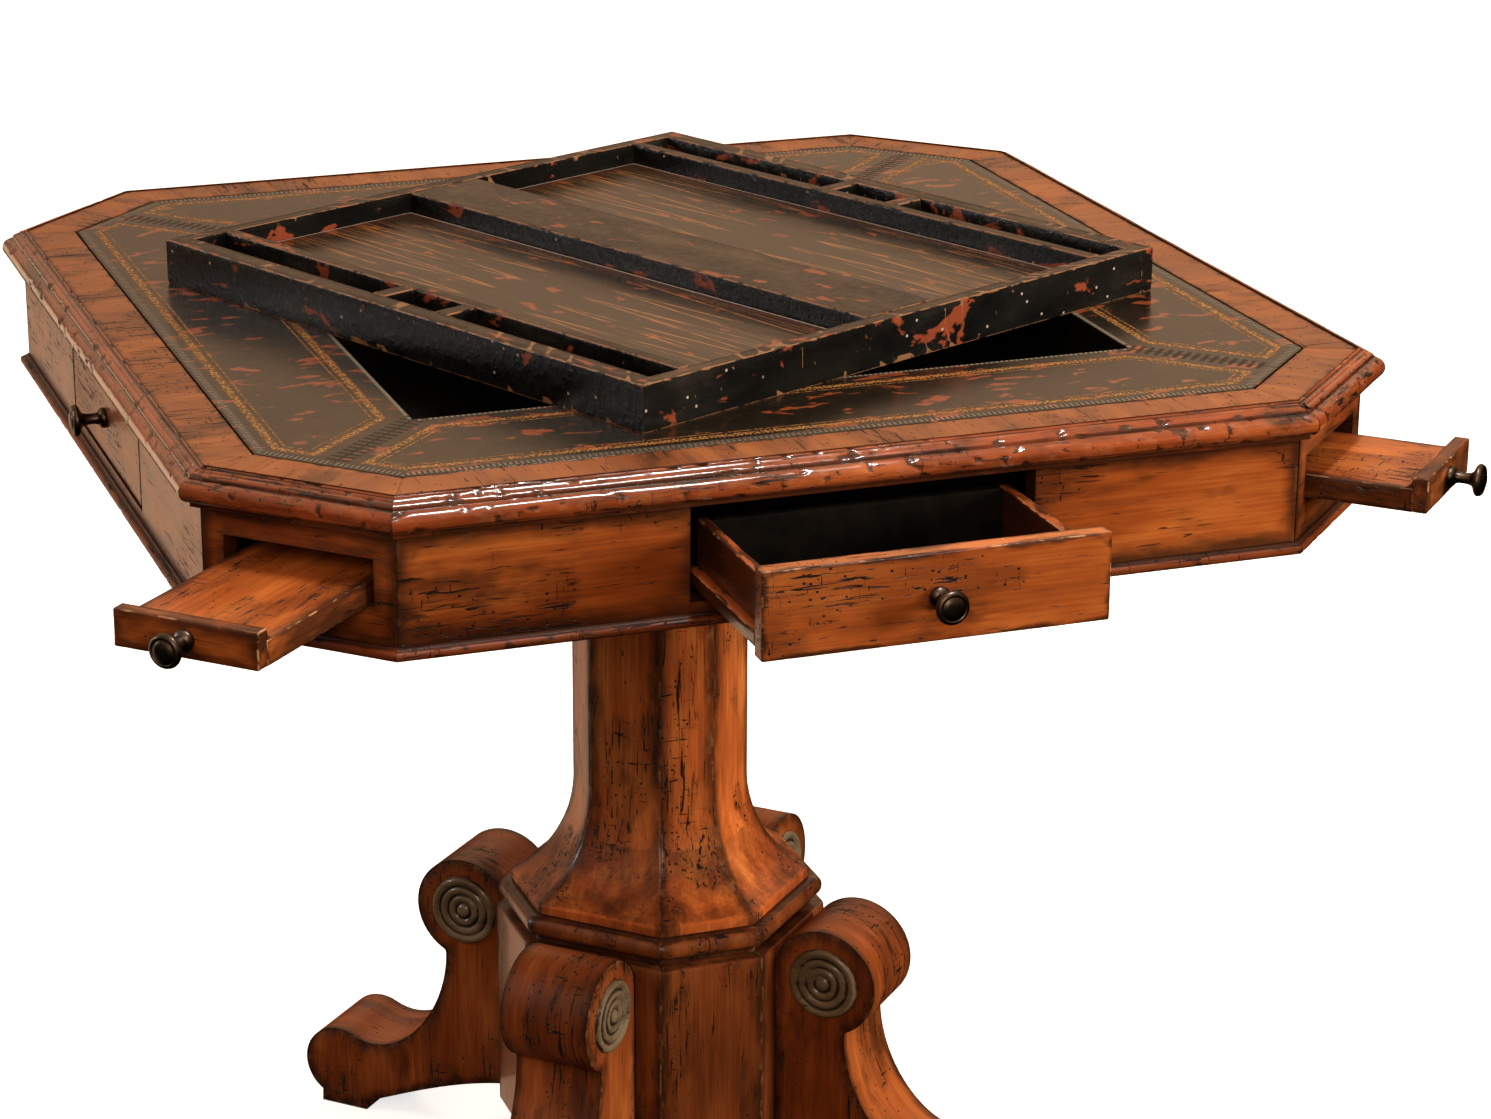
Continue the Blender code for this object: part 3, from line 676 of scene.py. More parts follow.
                    # grooves, chips and mitre ends get small edge values: glaze and painted shade there
                    clear_of_glaze_and_shade = min(edge, from_end * 8 + 0.001) * max(0.0, 1 - 5 * chip)
                    row.append((point, grain, clear_of_glaze_and_shade, 0.12 if edge > 0.02 else 0.0))
                rows.append(row)
            self.sheet(rows)
        return self

    def post(self, rings, rounding=0.0022, shift=0.0, dent=0.0, rub=0.25):
        """Eight facets through (radius, height, edge) rings, each radius to the octagon's corners."""
        for facet in range(8):
            start = CORNER_ANGLE if facet % 2 == 0 else pi / 2 - CORNER_ANGLE
            start += (facet // 2) * pi / 2
            end = pi / 2 - CORNER_ANGLE if facet % 2 == 0 else pi / 2 + CORNER_ANGLE
            end += (facet // 2) * pi / 2
            rows = []
            for radius, height, edge in rings:
                a = Vector((radius * sin(start), -radius * cos(start), height))
                b = Vector((radius * sin(end), -radius * cos(end), height))
                length = (b - a).length
                middle = (a + b) / 2
                facing = Vector((middle.x, middle.y, 0)).normalized()
                direction = (b - a).normalized()
                row = [min(away * rounding, length * 0.42) for away in (0.0, 0.25, 1.0, 3.0, 7.0)]
                offsets = row + [length / 2] + [length - d for d in reversed(row)]
                cells = []
                for offset in offsets:
                    from_end = min(offset, length - offset)
                    pull = 0.42 * rounding * max(0.0, 1 - from_end / rounding) ** 2
                    place = a + direction * offset - facing * pull
                    arris = from_end < rounding
                    if dent:
                        rough = roughness_at(place, 42, shift + facet)
                        place -= facing * dent * max(0.0, rough - (0.1 if arris else 0.42)) * 2
                    grain = (height + shift + facet * 0.83, offset - length / 2 + facet * 1.3, radius)
                    cells.append((place, grain, min(edge, from_end + 0.001), rub if arris else 0.0))
                rows.append(cells)
            self.sheet(rows, flip=rings[0][1] > rings[-1][1])
        return self

    def piece(self, name, look, body, *nodes, smooth=35):
        mesh = bpy.data.meshes.new(name)
        mesh.from_pydata(self.points, [], self.faces)
        grain = mesh.attributes.new("grain", "FLOAT_VECTOR", "POINT")
        grain.data.foreach_set("vector", [c for v in self.grain for c in v])
        for label, values in (("edge", self.edge), ("wear", self.wear)):
            mesh.attributes.new(label, "FLOAT", "POINT").data.foreach_set("value", values)
        mesh.polygons.foreach_set("use_smooth", [True] * len(mesh.polygons))
        mesh.set_sharp_from_angle(angle=radians(smooth))
        mesh.materials.append(LOOKS[look])
        obj = bpy.data.objects.new(name, mesh)
        bpy.context.scene.collection.objects.link(obj)
        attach(obj, body)
        if nodes:
            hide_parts(*nodes)
        return obj


def nearest_on_line(spot, a, b):
    """The nearest point to a spot on the line from a to b."""
    line = b - a
    t = max(0.0, min(1.0, (spot - a).dot(line) / max(line.length_squared, 1e-12)))
    return a + line * t


def body_matrix(angle, distance=0.0):
    """From a side's own axes, with -Y outward, to the table's, moved outward by a distance."""
    return Matrix.Translation(outward(angle, distance)) @ turn_about_z(angle)


# -------- the top

def make_lip():
    cove_inset, cove_depth, cove_rise, torus = 0.0128, 0.0022, 0.0040, 0.0082
    torus_depth = cove_depth + cove_rise + torus
    profile = [(LIP_INSET - GAP, -0.0012, 0.0), (LIP_INSET - GAP, -0.0003, 0.001), (0.0191, 0.0, 0.02)]
    profile += [(0.0182, 0.0, 0.03), (0.0177, 0.0005, 0.004), (0.0173, 0.0016, 0.0), (0.0164, 0.0018, 0.0)]
    profile += [(0.0158, 0.0012, 0.004), (0.0153, 0.0006, 0.03), (0.0147, 0.0004, 0.04)]
    profile += [(0.0141, 0.0006, 0.03)]
    for angle in range(0, 91, 10):
        t = radians(angle)
        inset = cove_inset - (cove_inset - torus) * sin(t)
        profile.append((inset, cove_depth + cove_rise * (1 - cos(t)), 0.012 if angle < 60 else 0.003))
    for angle in range(80, -66, -8):
        t = radians(angle)
        edge = 0.03 if 70 > angle > -30 else 0.004
        profile.append((torus - torus * cos(t), torus_depth - torus * sin(t), edge))
    profile += [(0.0078, torus_depth + torus * sin(radians(62)), 0.0), (0.0078, LIP_DEPTH, 0.0)]
    profile += [(APRON_INSET + 0.004, LIP_DEPTH, 0.0)]
    profile = [(inset, HEIGHT - depth, edge) for inset, depth, edge in profile]
    shape = Shape().moulding(profile, 0.0026, 0.0013, 4.0)
    shape.piece("lip", "lip", "table", "lip_moulding", smooth=40)


def make_crossband():
    shape = Shape()
    runs = [(a, HALF_WIDTH, side_half) for a in SIDES.values()]
    runs += [(a, HALF_CORNER, corner_half) for a in CORNERS.values()]
    for number, (angle, distance, half_length) in enumerate(runs):
        matrix = turn_about_z(angle)
        rows = []
        outer, inner = LIP_INSET + GAP, LEATHER_INSET - GAP
        insets = [(outer, 0.0012), (outer, 0.0003)]
        insets += [(outer + from_outer, 0) for from_outer in (0.0004, 0.004, 0.012)]
        insets += [(inner - from_inner, 0) for from_inner in (0.012, 0.004, 0.0004)]
        insets += [(inner, 0.0003), (inner, 0.0012)]
        for inset, drop in insets:
            half = half_length(inset)
            row = []
            for x in stations(half, (0.0, 0.0004, 0.0025, 0.008), ceil(2 * half / 0.03)):
                from_end = half - abs(x)
                sink = 0.0004 * max(0.0, 1 - from_end / 0.0008)
                edge = min(inset - outer, inner - inset) + 0.002
                place = matrix @ Vector((x, inset - distance, HEIGHT - drop - sink))
                grain = (inset + number * 2.1, x + number, 0.3)
                row.append((place, grain, min(edge, from_end * 12 + 0.0015), 0.0))
            rows.append(row)
        shortest = min(len(row) for row in rows)
        shape.sheet([resample(row, shortest) for row in rows])
    shape.piece("crossband_veneer", "crossband", "table", "crossband")


def resample(row, count):
    """The same row with this many points, by linear steps through it."""
    result = []
    for i in range(count):
        t = i * (len(row) - 1) / (count - 1)
        j = min(int(t), len(row) - 2)
        f = t - j
        (p, g, e, w), (q, h, d, v) = row[j], row[j + 1]
        grain = tuple(a + (b - a) * f for a, b in zip(g, h))
        result.append((p.lerp(q, f), grain, e + (d - e) * f, w + (v - w) * f))
    return result


def make_leather():
    """Each panel fans out from a side of the well to a side of the octagon and half of each corner."""
    inset = LEATHER_INSET + LEATHER_GROOVE
    half = HALF_WIDTH - inset
    seam_end = (HALF_CORNER - inset) / sqrt(2)
    short = side_half(inset)
    for side, angle in SIDES.items():
        matrix = turn_about_z(angle)
        path = [(-seam_end, -seam_end), (-short, -half), (short, -half), (seam_end, -seam_end)]
        columns = []
        for (x0, y0), (x1, y1), part in zip(path, path[1:], ("start", "middle", "end")):
            count = 10 if part == "middle" else 6
            for i in range(1 if columns else 0, count + 1):
                t = i / count
                t = {"start": t * t, "middle": t, "end": 1 - (1 - t) ** 2}[part]
                columns.append((x0 + (x1 - x0) * t, y0 + (y1 - y0) * t))
        columns.insert(1, tuple(Vector(columns[0]).lerp(Vector(columns[1]), 0.06)))
        columns.insert(-1, tuple(Vector(columns[-1]).lerp(Vector(columns[-2]), 0.06)))
        rows = []
        for step in (0.0, 0.004, 0.02, 0.2, 0.4, 0.6, 0.8, 0.97, 0.994, 1.0):
            row = []
            for x1, y1 in columns:
                x0, y0 = x1 / seam_end * WELL_HALF, -WELL_HALF
                if abs(x0) > WELL_HALF - GAP:
                    x0 = copysign(WELL_HALF - GAP, x0)
                if abs(abs(x1) - abs(y1)) < 1e-6:
                    x1 = copysign(abs(x1) - GAP, x1)
                x, y = x0 + (x1 - x0) * step, y0 + (y1 - y0) * step
                seam = abs(abs(x) - abs(y)) / sqrt(2)
                sink = 0.0005 if step in (0.0, 1.0) else 0.0002 * exp(-seam / 0.0012)
                place = Vector((x, y, HEIGHT - sink))
                row.append((matrix @ place, place, 0.05, 0.0))
            rows.append(row)
        shape = Shape()
        shape.sheet(rows, flip=True)
        shape.piece(f"leather_panel_{side}", "leather", "table", f"leather_{side}")


# -------- the carcase

def pierced_board(shape, near, far, low, high, opening, matrix, shift):
    """A mitred apron board with an opening: its face, its back, its ends and the opening's edges.

    near and far are the (y, half length) of its face and its back.
    """
    gate, gate_low, gate_high = opening
    half_outer, arris, gate_border = near[1], 0.0016, 0.003

    def point(x, z, y):
        return matrix @ Vector((x, y, z)), Vector((x, z, y)) + shift

    xs = [x for x in spread(-half_outer, half_outer, arris) if abs(abs(x) - gate) > 0.004]
    xs = sorted(set(xs + [-gate - gate_border, -gate, gate, gate + gate_border]))
    zs = [low, low + 0.003, gate_low, gate_high, high - 0.0012, high]
    zs = sorted(set(zs + [low + (high - low) * i / 8 for i in range(1, 8)]))
    for (y, half), is_back in ((near, False), (far, True)):
        index = {}
        for i, x in enumerate(xs):
            for k, z in enumerate(zs):
                px = x / half_outer * half if abs(x) > gate + 0.004 else x
                from_end = half_outer - abs(x)
                bend = 0.0 if is_back else 0.0007 * max(0.0, 1 - from_end / arris) ** 2
                to_gate = max(abs(x) - gate, gate_low - z, z - gate_high)
                # darker towards the ends, top and bottom and round the opening: glaze and painted shade
                edge = min(from_end, z - low, high - z, abs(to_gate) + 0.004)
                grain = Vector((x, z, y)) + shift
                place = matrix @ Vector((px, y + bend, z))
                index[i, k] = shape.point(place, grain, edge, 0.1 if from_end < arris else 0.0)
        for i in range(len(xs) - 1):
            for k in range(len(zs) - 1):
                if abs(xs[i] + xs[i + 1]) / 2 < gate and gate_low < (zs[k] + zs[k + 1]) / 2 < gate_high:
                    continue
                face = (index[i, k], index[i + 1, k], index[i + 1, k + 1], index[i, k + 1])
                shape.faces.append(face[::-1] if is_back else face)
    (near_y, _), (far_y, half_inner) = near, far
    loop = [(-gate, gate_low), (gate, gate_low), (gate, gate_high), (-gate, gate_high), (-gate, gate_low)]
    for ends in zip(loop, loop[1:]):
        depths = ((near_y, 0.0), (near_y + 0.002, 0.001), (far_y, 0.0))
        shape.sheet([[(*point(x, z, y), edge, 0.0) for x, z in ends] for y, edge in depths])
    for sign in (-1, 1):
        corners = ((sign * half_outer, near_y), (sign * half_inner, far_y))
        shape.sheet([[(*point(x, z, y), 0.0, 0.0) for z in (low, high)] for x, y in corners])
    for z in (low, high):
        widths = ((half_outer, near_y), (half_inner, far_y))
        shape.sheet([[(*point(x, z, y), 0.0, 0.0) for x in (-half, half)] for half, y in widths])


def make_aprons():
    inner = APRON_INSET + APRON_THICKNESS
    low, high = HEIGHT - APRON_DEPTH, HEIGHT - LIP_DEPTH - GAP
    for places, distance, half_length, (gate, gate_top, gate_foot) in (
        (SIDES, HALF_WIDTH, side_half, DRAWER_OPENING),
        (CORNERS, HALF_CORNER, corner_half, SLIDE_OPENING),
    ):
        near, far = ((inset - distance, half_length(inset) - GAP) for inset in (APRON_INSET, inner))
        opening = (gate, HEIGHT - gate_foot, HEIGHT - gate_top)
        for number, (name, angle) in enumerate(places.items()):
            shape = Shape()
            shift = Vector((number * 2.7 + distance * 9, number * 1.3, number))
            pierced_board(shape, near, far, low, high, opening, turn_about_z(angle), shift)
            shape.piece(f"apron_board_{name}", "walnut", "table", f"apron_{name}")


def make_base_moulding():
    top, foot = APRON_DEPTH + GAP, MOULDING_DEPTH
    apron, bead = APRON_INSET, MOULDING_INSET
    profile = [(apron + 0.002, top, 0.0), (apron - 0.0018, top, 0.0), (apron - 0.0022, top + 0.0012, 0.0)]
    profile += [(apron - 0.0030, top + 0.0018, 0.0), (bead + 0.0022, top + 0.0018, 0.004)]
    profile += [(bead + 0.0008, top + 0.0024, 0.02), (bead, top + 0.0036, 0.02), (bead, foot - 0.0022, 0.02)]
    profile += [(bead + 0.0006, foot - 0.0008, 0.003), (bead + 0.0020, foot, 0.0)]
    profile += [(bead + 0.038, foot, 0.004), (bead + 0.038, top, 0.0)]
    shape = Shape().moulding([(i, HEIGHT - d, e) for i, d, e in profile], 0.006, 0.0005, 9.0)
    shape.piece("base_bead", "moulding", "table", "base_moulding", smooth=40)


def make_knob(name, body, matrix, face, height, node):
    """A mushroom knob with a stepped face on a thin stem, standing out from a face at a height."""
    profile = [(0, 0.0275), (0.0025, 0.0274), (0.0050, 0.0270), (0.0070, 0.0262), (0.0080, 0.0254, 0.0)]
    profile += [(0.0085, 0.0252, 0.0), (0.0092, 0.0256), (0.0101, 0.0255), (0.0110, 0.0248), (0.0117, 0.0238)]
    profile += [(0.0120, 0.0227), (0.0119, 0.0217), (0.0114, 0.0208), (0.0104, 0.0200, 0.001)]
    profile += [(0.0086, 0.0192), (0.0066, 0.0184, 0.0), (0.0052, 0.0172, 0.0), (0.0044, 0.0150, 0.001)]
    profile += [(0.0041, 0.0120, 0.001), (0.0041, 0.0078, 0.001), (0.0048, 0.0055, 0.0)]
    profile += [(0.0064, 0.0044), (0.0076, 0.0030)]
    profile += [(0.0078, 0.0012), (0.0076, 0.0, 0.0), (0, 0, 0.0)]
    place = Matrix.Translation((0, face - GAP, height)) @ Matrix.Rotation(pi / 2, 4, "X")
    Shape().turned(profile, 40, matrix @ place).piece(name, "bronze", body, node)


def make_drawer(side, angle):
    body = f"{side}_drawer"
    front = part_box(f"drawer_front_{side}")
    reach = abs(outward(angle, 1.0).dot((front[0] + front[1]) / 2))
    pull = reach - (HALF_WIDTH - APRON_INSET - DRAWER_FRONT_THICKNESS / 2)
    matrix = body_matrix(angle, pull)
    face = APRON_INSET - HALF_WIDTH
    top, bottom = (HEIGHT - depth for depth in DRAWER_FRONT_DEPTHS)
    back = face + DRAWER_FRONT_THICKNESS
    half = DRAWER_FRONT_HALF
    shape = Shape().board((-half, face, bottom), (half, back, top), 0, matrix, 0.0012, 0.0008)
    shape.piece(f"drawer_face_{side}", "drawer_face", body, f"drawer_front_{side}")

    start, end = back + GAP, face + DRAWER_LENGTH
    box_top = HEIGHT - DRAWER_BOX_TOP
    half, wall = DRAWER_BOX_HALF, DRAWER_WALL
    shape = Shape()
    for near, far in ((-half, wall - half), (half - wall, half)):
        shape.board((near, start, bottom), (far, end, box_top), 1, matrix, 0.0010, 0.0005)
    high, low = (HEIGHT - depth for depth in RUNNER_DEPTHS)
    for sign in (-1, 1):
        near, far = sorted((sign * (half - 0.001), sign * (half + RUNNER_WIDTH)))
        shape.board((near, start, low), (far, end, high), 1, matrix, 0.0008, 0.0004)
    shape.piece(f"drawer_walls_{side}", "drawer_side", body, f"drawer_box_{side}")
    shape = Shape()
    half, floor_top = half - wall, bottom + DRAWER_BOTTOM
    shape.board((-half, end - wall, bottom), (half, end, box_top), 0, matrix, 0.0008, 0.0003)
    shape.board((-half, start, bottom), (half, end - wall, floor_top), 0, matrix, 0.0004, 0.0)
    # the drawer's floor and back are near black: painted shade
    shape.piece(f"drawer_bottom_{side}", "black_paint_and_shade", body)
    make_knob(f"knob_drawer_{side}", body, matrix, face, (top + bottom) / 2, f"drawer_knob_{side}")


def make_slide(corner, angle):
    body = f"{corner}_slide"
    face = APRON_INSET - HALF_CORNER
    matrix = body_matrix(angle, SLIDE_PULLS.get(corner, 0.0))
    top, bottom = (HEIGHT - depth for depth in SLIDE_DEPTHS)
    shelf = top - SLIDE_STEP
    rail_back, back, half = face + SLIDE_RAIL, face + SLIDE_LENGTH, SLIDE_HALF
    shape = Shape()
    shape.board((-half, rail_back - 0.001, bottom), (half, back, shelf), 1, matrix, 0.0010, 0.0005)
    shelf_points = len(shape.edge)
    shape.board((-half, face, bottom), (half, rail_back, top), 0, matrix, 0.0014, 0.0007)
    # the rail's edge distances are shrunk, so it takes more of the glaze and painted shade than a wide board
    shape.edge[shelf_points:] = [edge * 0.45 for edge in shape.edge[shelf_points:]]
    cove = arc((rail_back + SLIDE_COVE, shelf + SLIDE_COVE), SLIDE_COVE, 180, 270, 8)
    half -= 0.0004
    rows = []
    for y, z in cove:
        row = []
        for t in (0.0, 0.01, 0.1, 0.3, 0.5, 0.7, 0.9, 0.99, 1.0):
            x = half * (2 * t - 1)
            row.append((matrix @ Vector((x, y, z)), (x, y + 3.3, z), 0.002 + min(t, 1 - t) * 0.1, 0.0))
        rows.append(row)
    shape.sheet(rows)
    for sign in (-1, 1):
        fan = [(rail_back, shelf), *cove]
        ids = [shape.point(matrix @ Vector((sign * half, y, z)), (y, z, 4.0), 0.003) for y, z in fan]
        shape.faces.append(tuple(ids if sign < 0 else ids[::-1]))
    shape.piece(f"slide_shelf_{corner}", "shelf", body, f"slide_{corner}")
    make_knob(f"knob_slide_{corner}", body, matrix, face, (top + bottom) / 2, f"slide_knob_{corner}")


# -------- the tray

def make_tray():
    base = Matrix.Translation((0, 0, HEIGHT + GAP)) @ turn_about_z(TRAY_TURN)
    half_x, half_y = TRAY_HALF - TRAY_SIDE - GAP, TRAY_HALF - TRAY_END - GAP
    top, radius, wear = TRAY_HEIGHT, 0.0012, 0.0004
    soft = radius * 0.3              # where a rounded edge turns

    runs = []
    for number in range(4):
        thick, other = (TRAY_END, TRAY_SIDE) if number % 2 == 0 else (TRAY_SIDE, TRAY_END)
        section = [(thick, 0.0, 0.02), (thick, top - 0.009, 0.02), (thick, top - radius, 0.006)]
        section += [(thick - soft, top - soft, 0.0), (thick - radius, top, 0.001)]
        section += [(thick / 2, top, thick / 2), (radius, top, 0.001), (soft, top - soft, 0.0)]
        section += [(0.0, top - radius, 0.003)]
        section += [(0.0, top - 0.006, 0.02), (0.0, top / 2, 0.03), (0.0, 0.004, 0.01), (0.0006, 0.0, 0.0)]
        section += [(thick, 0.0, 0.0)]
        matrix = base @ turn_about_z(number * pi / 2)
        runs.append((matrix, TRAY_HALF, lambda inset, k=other / thick: TRAY_HALF - inset * k, section))
    Shape().mitred(runs, 0.006, 0.0003, 2.0).piece("tray_walls", "lacquer", "tray", "tray_frame")

    shape = Shape().board((-half_x, -half_y, 0), (half_x, half_y, TRAY_FLOOR), 1, base, 0.0005, 0.0)
    shape.piece("tray_bottom", "lacquer", "tray", "tray_floor")
    foot, bar = TRAY_FLOOR + GAP, TRAY_BAR_HALF
    shift = Vector((3, 4, 5))
    shape = Shape().board((-bar, -half_y, foot), (bar, half_y, top), 1, base, radius, wear, shift)
    shape.piece("tray_centre_bar", "lacquer", "tray", "tray_bar")

    rail_in, rail_out = TRAY_RAIL
    shift = Vector((0.00001, 0, 0))
    for hand, sign in (("right", 1), ("left", -1)):
        low, high = sorted((sign * (bar + GAP), sign * (rail_in - GAP)))
        field_top = top - FIELD_RECESS
        shape = Shape().board((low, -half_y, foot), (high, half_y, field_top), 1, base, 0.0005, 0.0, shift)
        # the grain attribute of a field keeps its own axes: along, across, up
        shape.grain = [tuple(base.inverted() @ p)[1::-1] + (0.0,) for p in shape.points]
        shape.piece(f"tray_ground_{hand}", "field", "tray", f"tray_field_{hand}")
        shape = Shape()
        low, high = sorted((sign * rail_in, sign * rail_out))
        shape.board((low, -half_y, foot), (high, half_y, top), 1, base, radius, wear)
        for gate in (-1, 1):
            near, far = sorted((gate * TRAY_DIVIDER[0], gate * TRAY_DIVIDER[1]))
            low, high = sorted((sign * (rail_out - 0.001), sign * half_x))
            shape.board((low, near, foot), (high, far, top), 0, base, radius, wear)
        shape.piece(f"tray_rails_{hand}", "lacquer", "tray", f"tray_rail_{hand}")


# -------- the pedestal

def make_pedestal():
    widen = (FLARE_RADIUS - COLUMN_RADIUS) / (1 - cos(FLARE_SWEEP))
    drop = (FLARE_TOP - FLARE_FOOT) / sin(FLARE_SWEEP)
    rim = FLARE_RADIUS
    rings = [(rim - 0.0040, RIM_FOOT, 0.0), (rim - 0.0006, RIM_FOOT, 0.002), (rim, RIM_FOOT + 0.0006, 0.010)]
    rings += [(rim, FLARE_FOOT - 0.0006, 0.02), (rim - 0.0006, FLARE_FOOT, 0.02)]
    steps = 26
    for i in range(steps - 1, -1, -1):
        t = FLARE_SWEEP * i / steps
        # the lower flare takes more of the glaze and painted shade, so it is darker towards the bottom
        edge = 0.009 if i > 9 else 0.03
        rings.append((COLUMN_RADIUS + widen * (1 - cos(t)), FLARE_TOP - drop * sin(t), edge))
    steps = 40
    for i in range(1, steps + 1):
        height = FLARE_TOP + (COLUMN_TOP - FLARE_TOP) * i / steps
        rings.append((COLUMN_RADIUS, height, 0.03 if i < steps - 2 else 0.004))
    Shape().post(rings, 0.0026, 1.0, 0.0009).piece("column_shaft", "column", "table", "column")

    radius, height = COLLAR_RADIUS, RIM_FOOT - GAP - COLLAR_BEAD
    rings = [(rim - 0.004, RIM_FOOT - GAP, 0.0)]
    for angle in range(90, -91, -15):
        t = radians(angle)
        edge = 0.03 if abs(angle) < 60 else 0.002
        rings.append((radius + COLLAR_BEAD * cos(t), height + COLLAR_BEAD * sin(t), edge))
    rings += [(radius, height - COLLAR_BEAD - 0.0008, 0.0), (radius - 0.001, COLLAR_FOOT + 0.001, 0.002)]
    rings += [(radius - 0.006, COLLAR_FOOT, 0.0)]
    Shape().post(rings, 0.0022, 5.0, 0.0008).piece("collar_bead", "block", "table", "collar", smooth=40)

    top, (high, low) = COLLAR_FOOT - GAP, BLOCK_STEP
    radius, foot_radius, foot = BLOCK_RADIUS, BLOCK_FOOT_RADIUS, BLOCK_FOOT
    rings = [(0.03, top, 0.0), (radius - 0.003, top, 0.004), (radius - 0.0008, top - 0.0008, 0.03)]
    rings += [(radius, top - 0.003, 0.03)]
    rings += [(radius, top + (high - top) * i / 12, 0.03) for i in range(1, 12)]
    rings += [(radius, high + 0.001, 0.01), (radius - 0.001, high, 0.004)]
    rings += [(foot_radius + 0.004, low + 0.004, 0.004), (foot_radius, low, 0.02)]
    rings += [(foot_radius, foot + 0.001, 0.01)]
    rings += [(foot_radius - 0.001, foot, 0.0), (0.01, foot, 0.0)]
    Shape().post(rings, 0.0026, 9.0, 0.0008).piece("leg_block", "block", "table", "pedestal_block")


def leg_outline():
    root = BLOCK_RADIUS * cos(pi / 4 - CORNER_ANGLE) + GAP
    volute = arc(VOLUTE_CENTRE, VOLUTE_RADIUS, 158, -64, 44)
    toe = arc(TOE_CENTRE, TOE_RADIUS, 115, -58, 28)
    notch = (volute[-1][0] - 0.0010, volute[-1][1] - 0.0030)
    front = bezier(notch, (0.1840, 0.1080), (0.2330, 0.0480), toe[0], 24)
    root_foot, root_top = 0.0560, volute[0][1]
    sole = bezier((PAD[0] - 0.0020, 0.0090), (0.2350, 0.0200), (0.1800, 0.0480), (root, root_foot), 20)
    back = [(root, root_foot + (root_top - root_foot) * i / 12) for i in range(1, 12)] + [(root, root_top)]
    return back + volute + front[:-1] + toe + [(PAD[1], 0.0), (PAD[0], 0.0)] + sole


def make_leg(corner, angle):
    outline = [Vector(p) for p in leg_outline()]
    border = list(zip(outline, outline[1:] + outline[:1]))

    def from_outline(spot):
        return min((spot - nearest_on_line(spot, a, b)).length for a, b in border)

    # a fine net of points inside the outline carries the glaze and painted shade from its edge to its middle
    spots = list(outline)
    for i in range(60):
        for k in range(60):
            spot = Vector((0.09 + i * LEG_NET, 0.002 + k * LEG_NET))
            if from_outline(spot) > LEG_NET * 0.6:
                spots.append(spot)
    loop = [tuple(range(len(outline)))]
    spots, _, faces, *_ = delaunay_2d_cdt(spots, [], loop, 1, 1e-6)
    matrix = turn_about_z(angle - pi / 2)
    shape = Shape()
    for sign in (-1, 1):
        ids = []
        for spot in spots:
            away = from_outline(spot)
            on_outline = away < 0.0004
            y = sign * (LEG_HALF - RUB_WIDTH if on_outline else LEG_HALF)
            place, grain = matrix @ Vector((spot.x, -y, spot.y)), (spot.y + sign * 3, spot.x, y)
            ids.append(shape.point(place, grain, away + 0.001, 0.3 if on_outline else 0.0))
        for face in faces:
            order = [ids[i] for i in face]
            shape.faces.append(tuple(order if sign > 0 else order[::-1]))
    # the band round the outline
    rows = []
    run = 0.0
    previous = outline[0]
    for spot in outline + outline[:1]:
        run += (spot - previous).length
        previous = spot
        row = []
        for share in (-1, -0.985, -0.96, -0.8, -0.4, 0, 0.4, 0.8, 0.96, 0.985, 1):
            from_end = 1 - abs(share)
            y = share * (LEG_HALF if from_end else LEG_HALF - RUB_WIDTH)
            rub = 0.3 if from_end < 0.03 else 0.0
            place = matrix @ Vector((spot.x, -y, spot.y))
            row.append((place, (run, y + 2.0, 0.5), 0.001 + from_end * 0.035, rub))
        rows.append(row)
    shape.sheet(rows, flip=True)
    shape.piece(f"scroll_leg_{corner}", "leg", "table", f"leg_{corner}", smooth=50)

    # turned roundels, proud of the volute on both sides
    shape = Shape()
    profile = [(0, 0.0040, 0.01), (0.0030, 0.0038, 0.01), (0.0048, 0.0030, 0.004), (0.0060, 0.0014, 0.0)]
    profile += [(0.0075, 0.0012, 0.0), (0.0090, 0.0026, 0.01), (0.0108, 0.0032, 0.01)]
    profile += [(0.0126, 0.0026, 0.004), (0.0138, 0.0012, 0.0), (0.0150, 0.0012, 0.0), (0.0166, 0.0028, 0.01)]
    profile += [(0.0185, 0.0034, 0.01), (0.0204, 0.0028, 0.004), (0.0216, 0.0012, 0.0), (0.0228, 0.0012, 0.0)]
    profile += [(0.0246, 0.0028, 0.01), (0.0266, 0.0034, 0.01), (0.0286, 0.0026, 0.004)]
    profile += [(ROUNDEL_RADIUS, 0.0002, 0.0)]
    profile += [(ROUNDEL_RADIUS, -0.002, 0.0)]
    for sign in (-1, 1):
        place = Matrix.Translation(outward(angle, *VOLUTE_CENTRE)) @ matrix
        place = place @ Matrix.Translation((0, sign * LEG_HALF, 0)) @ Matrix.Rotation(-sign * pi / 2, 4, "X")
        shape.turned(profile, 48, place, (corner.count("e") * 1.1, sign, 0))
    shape.piece(f"roundels_{corner}", "roundel", "table", smooth=50)


# -------- stage

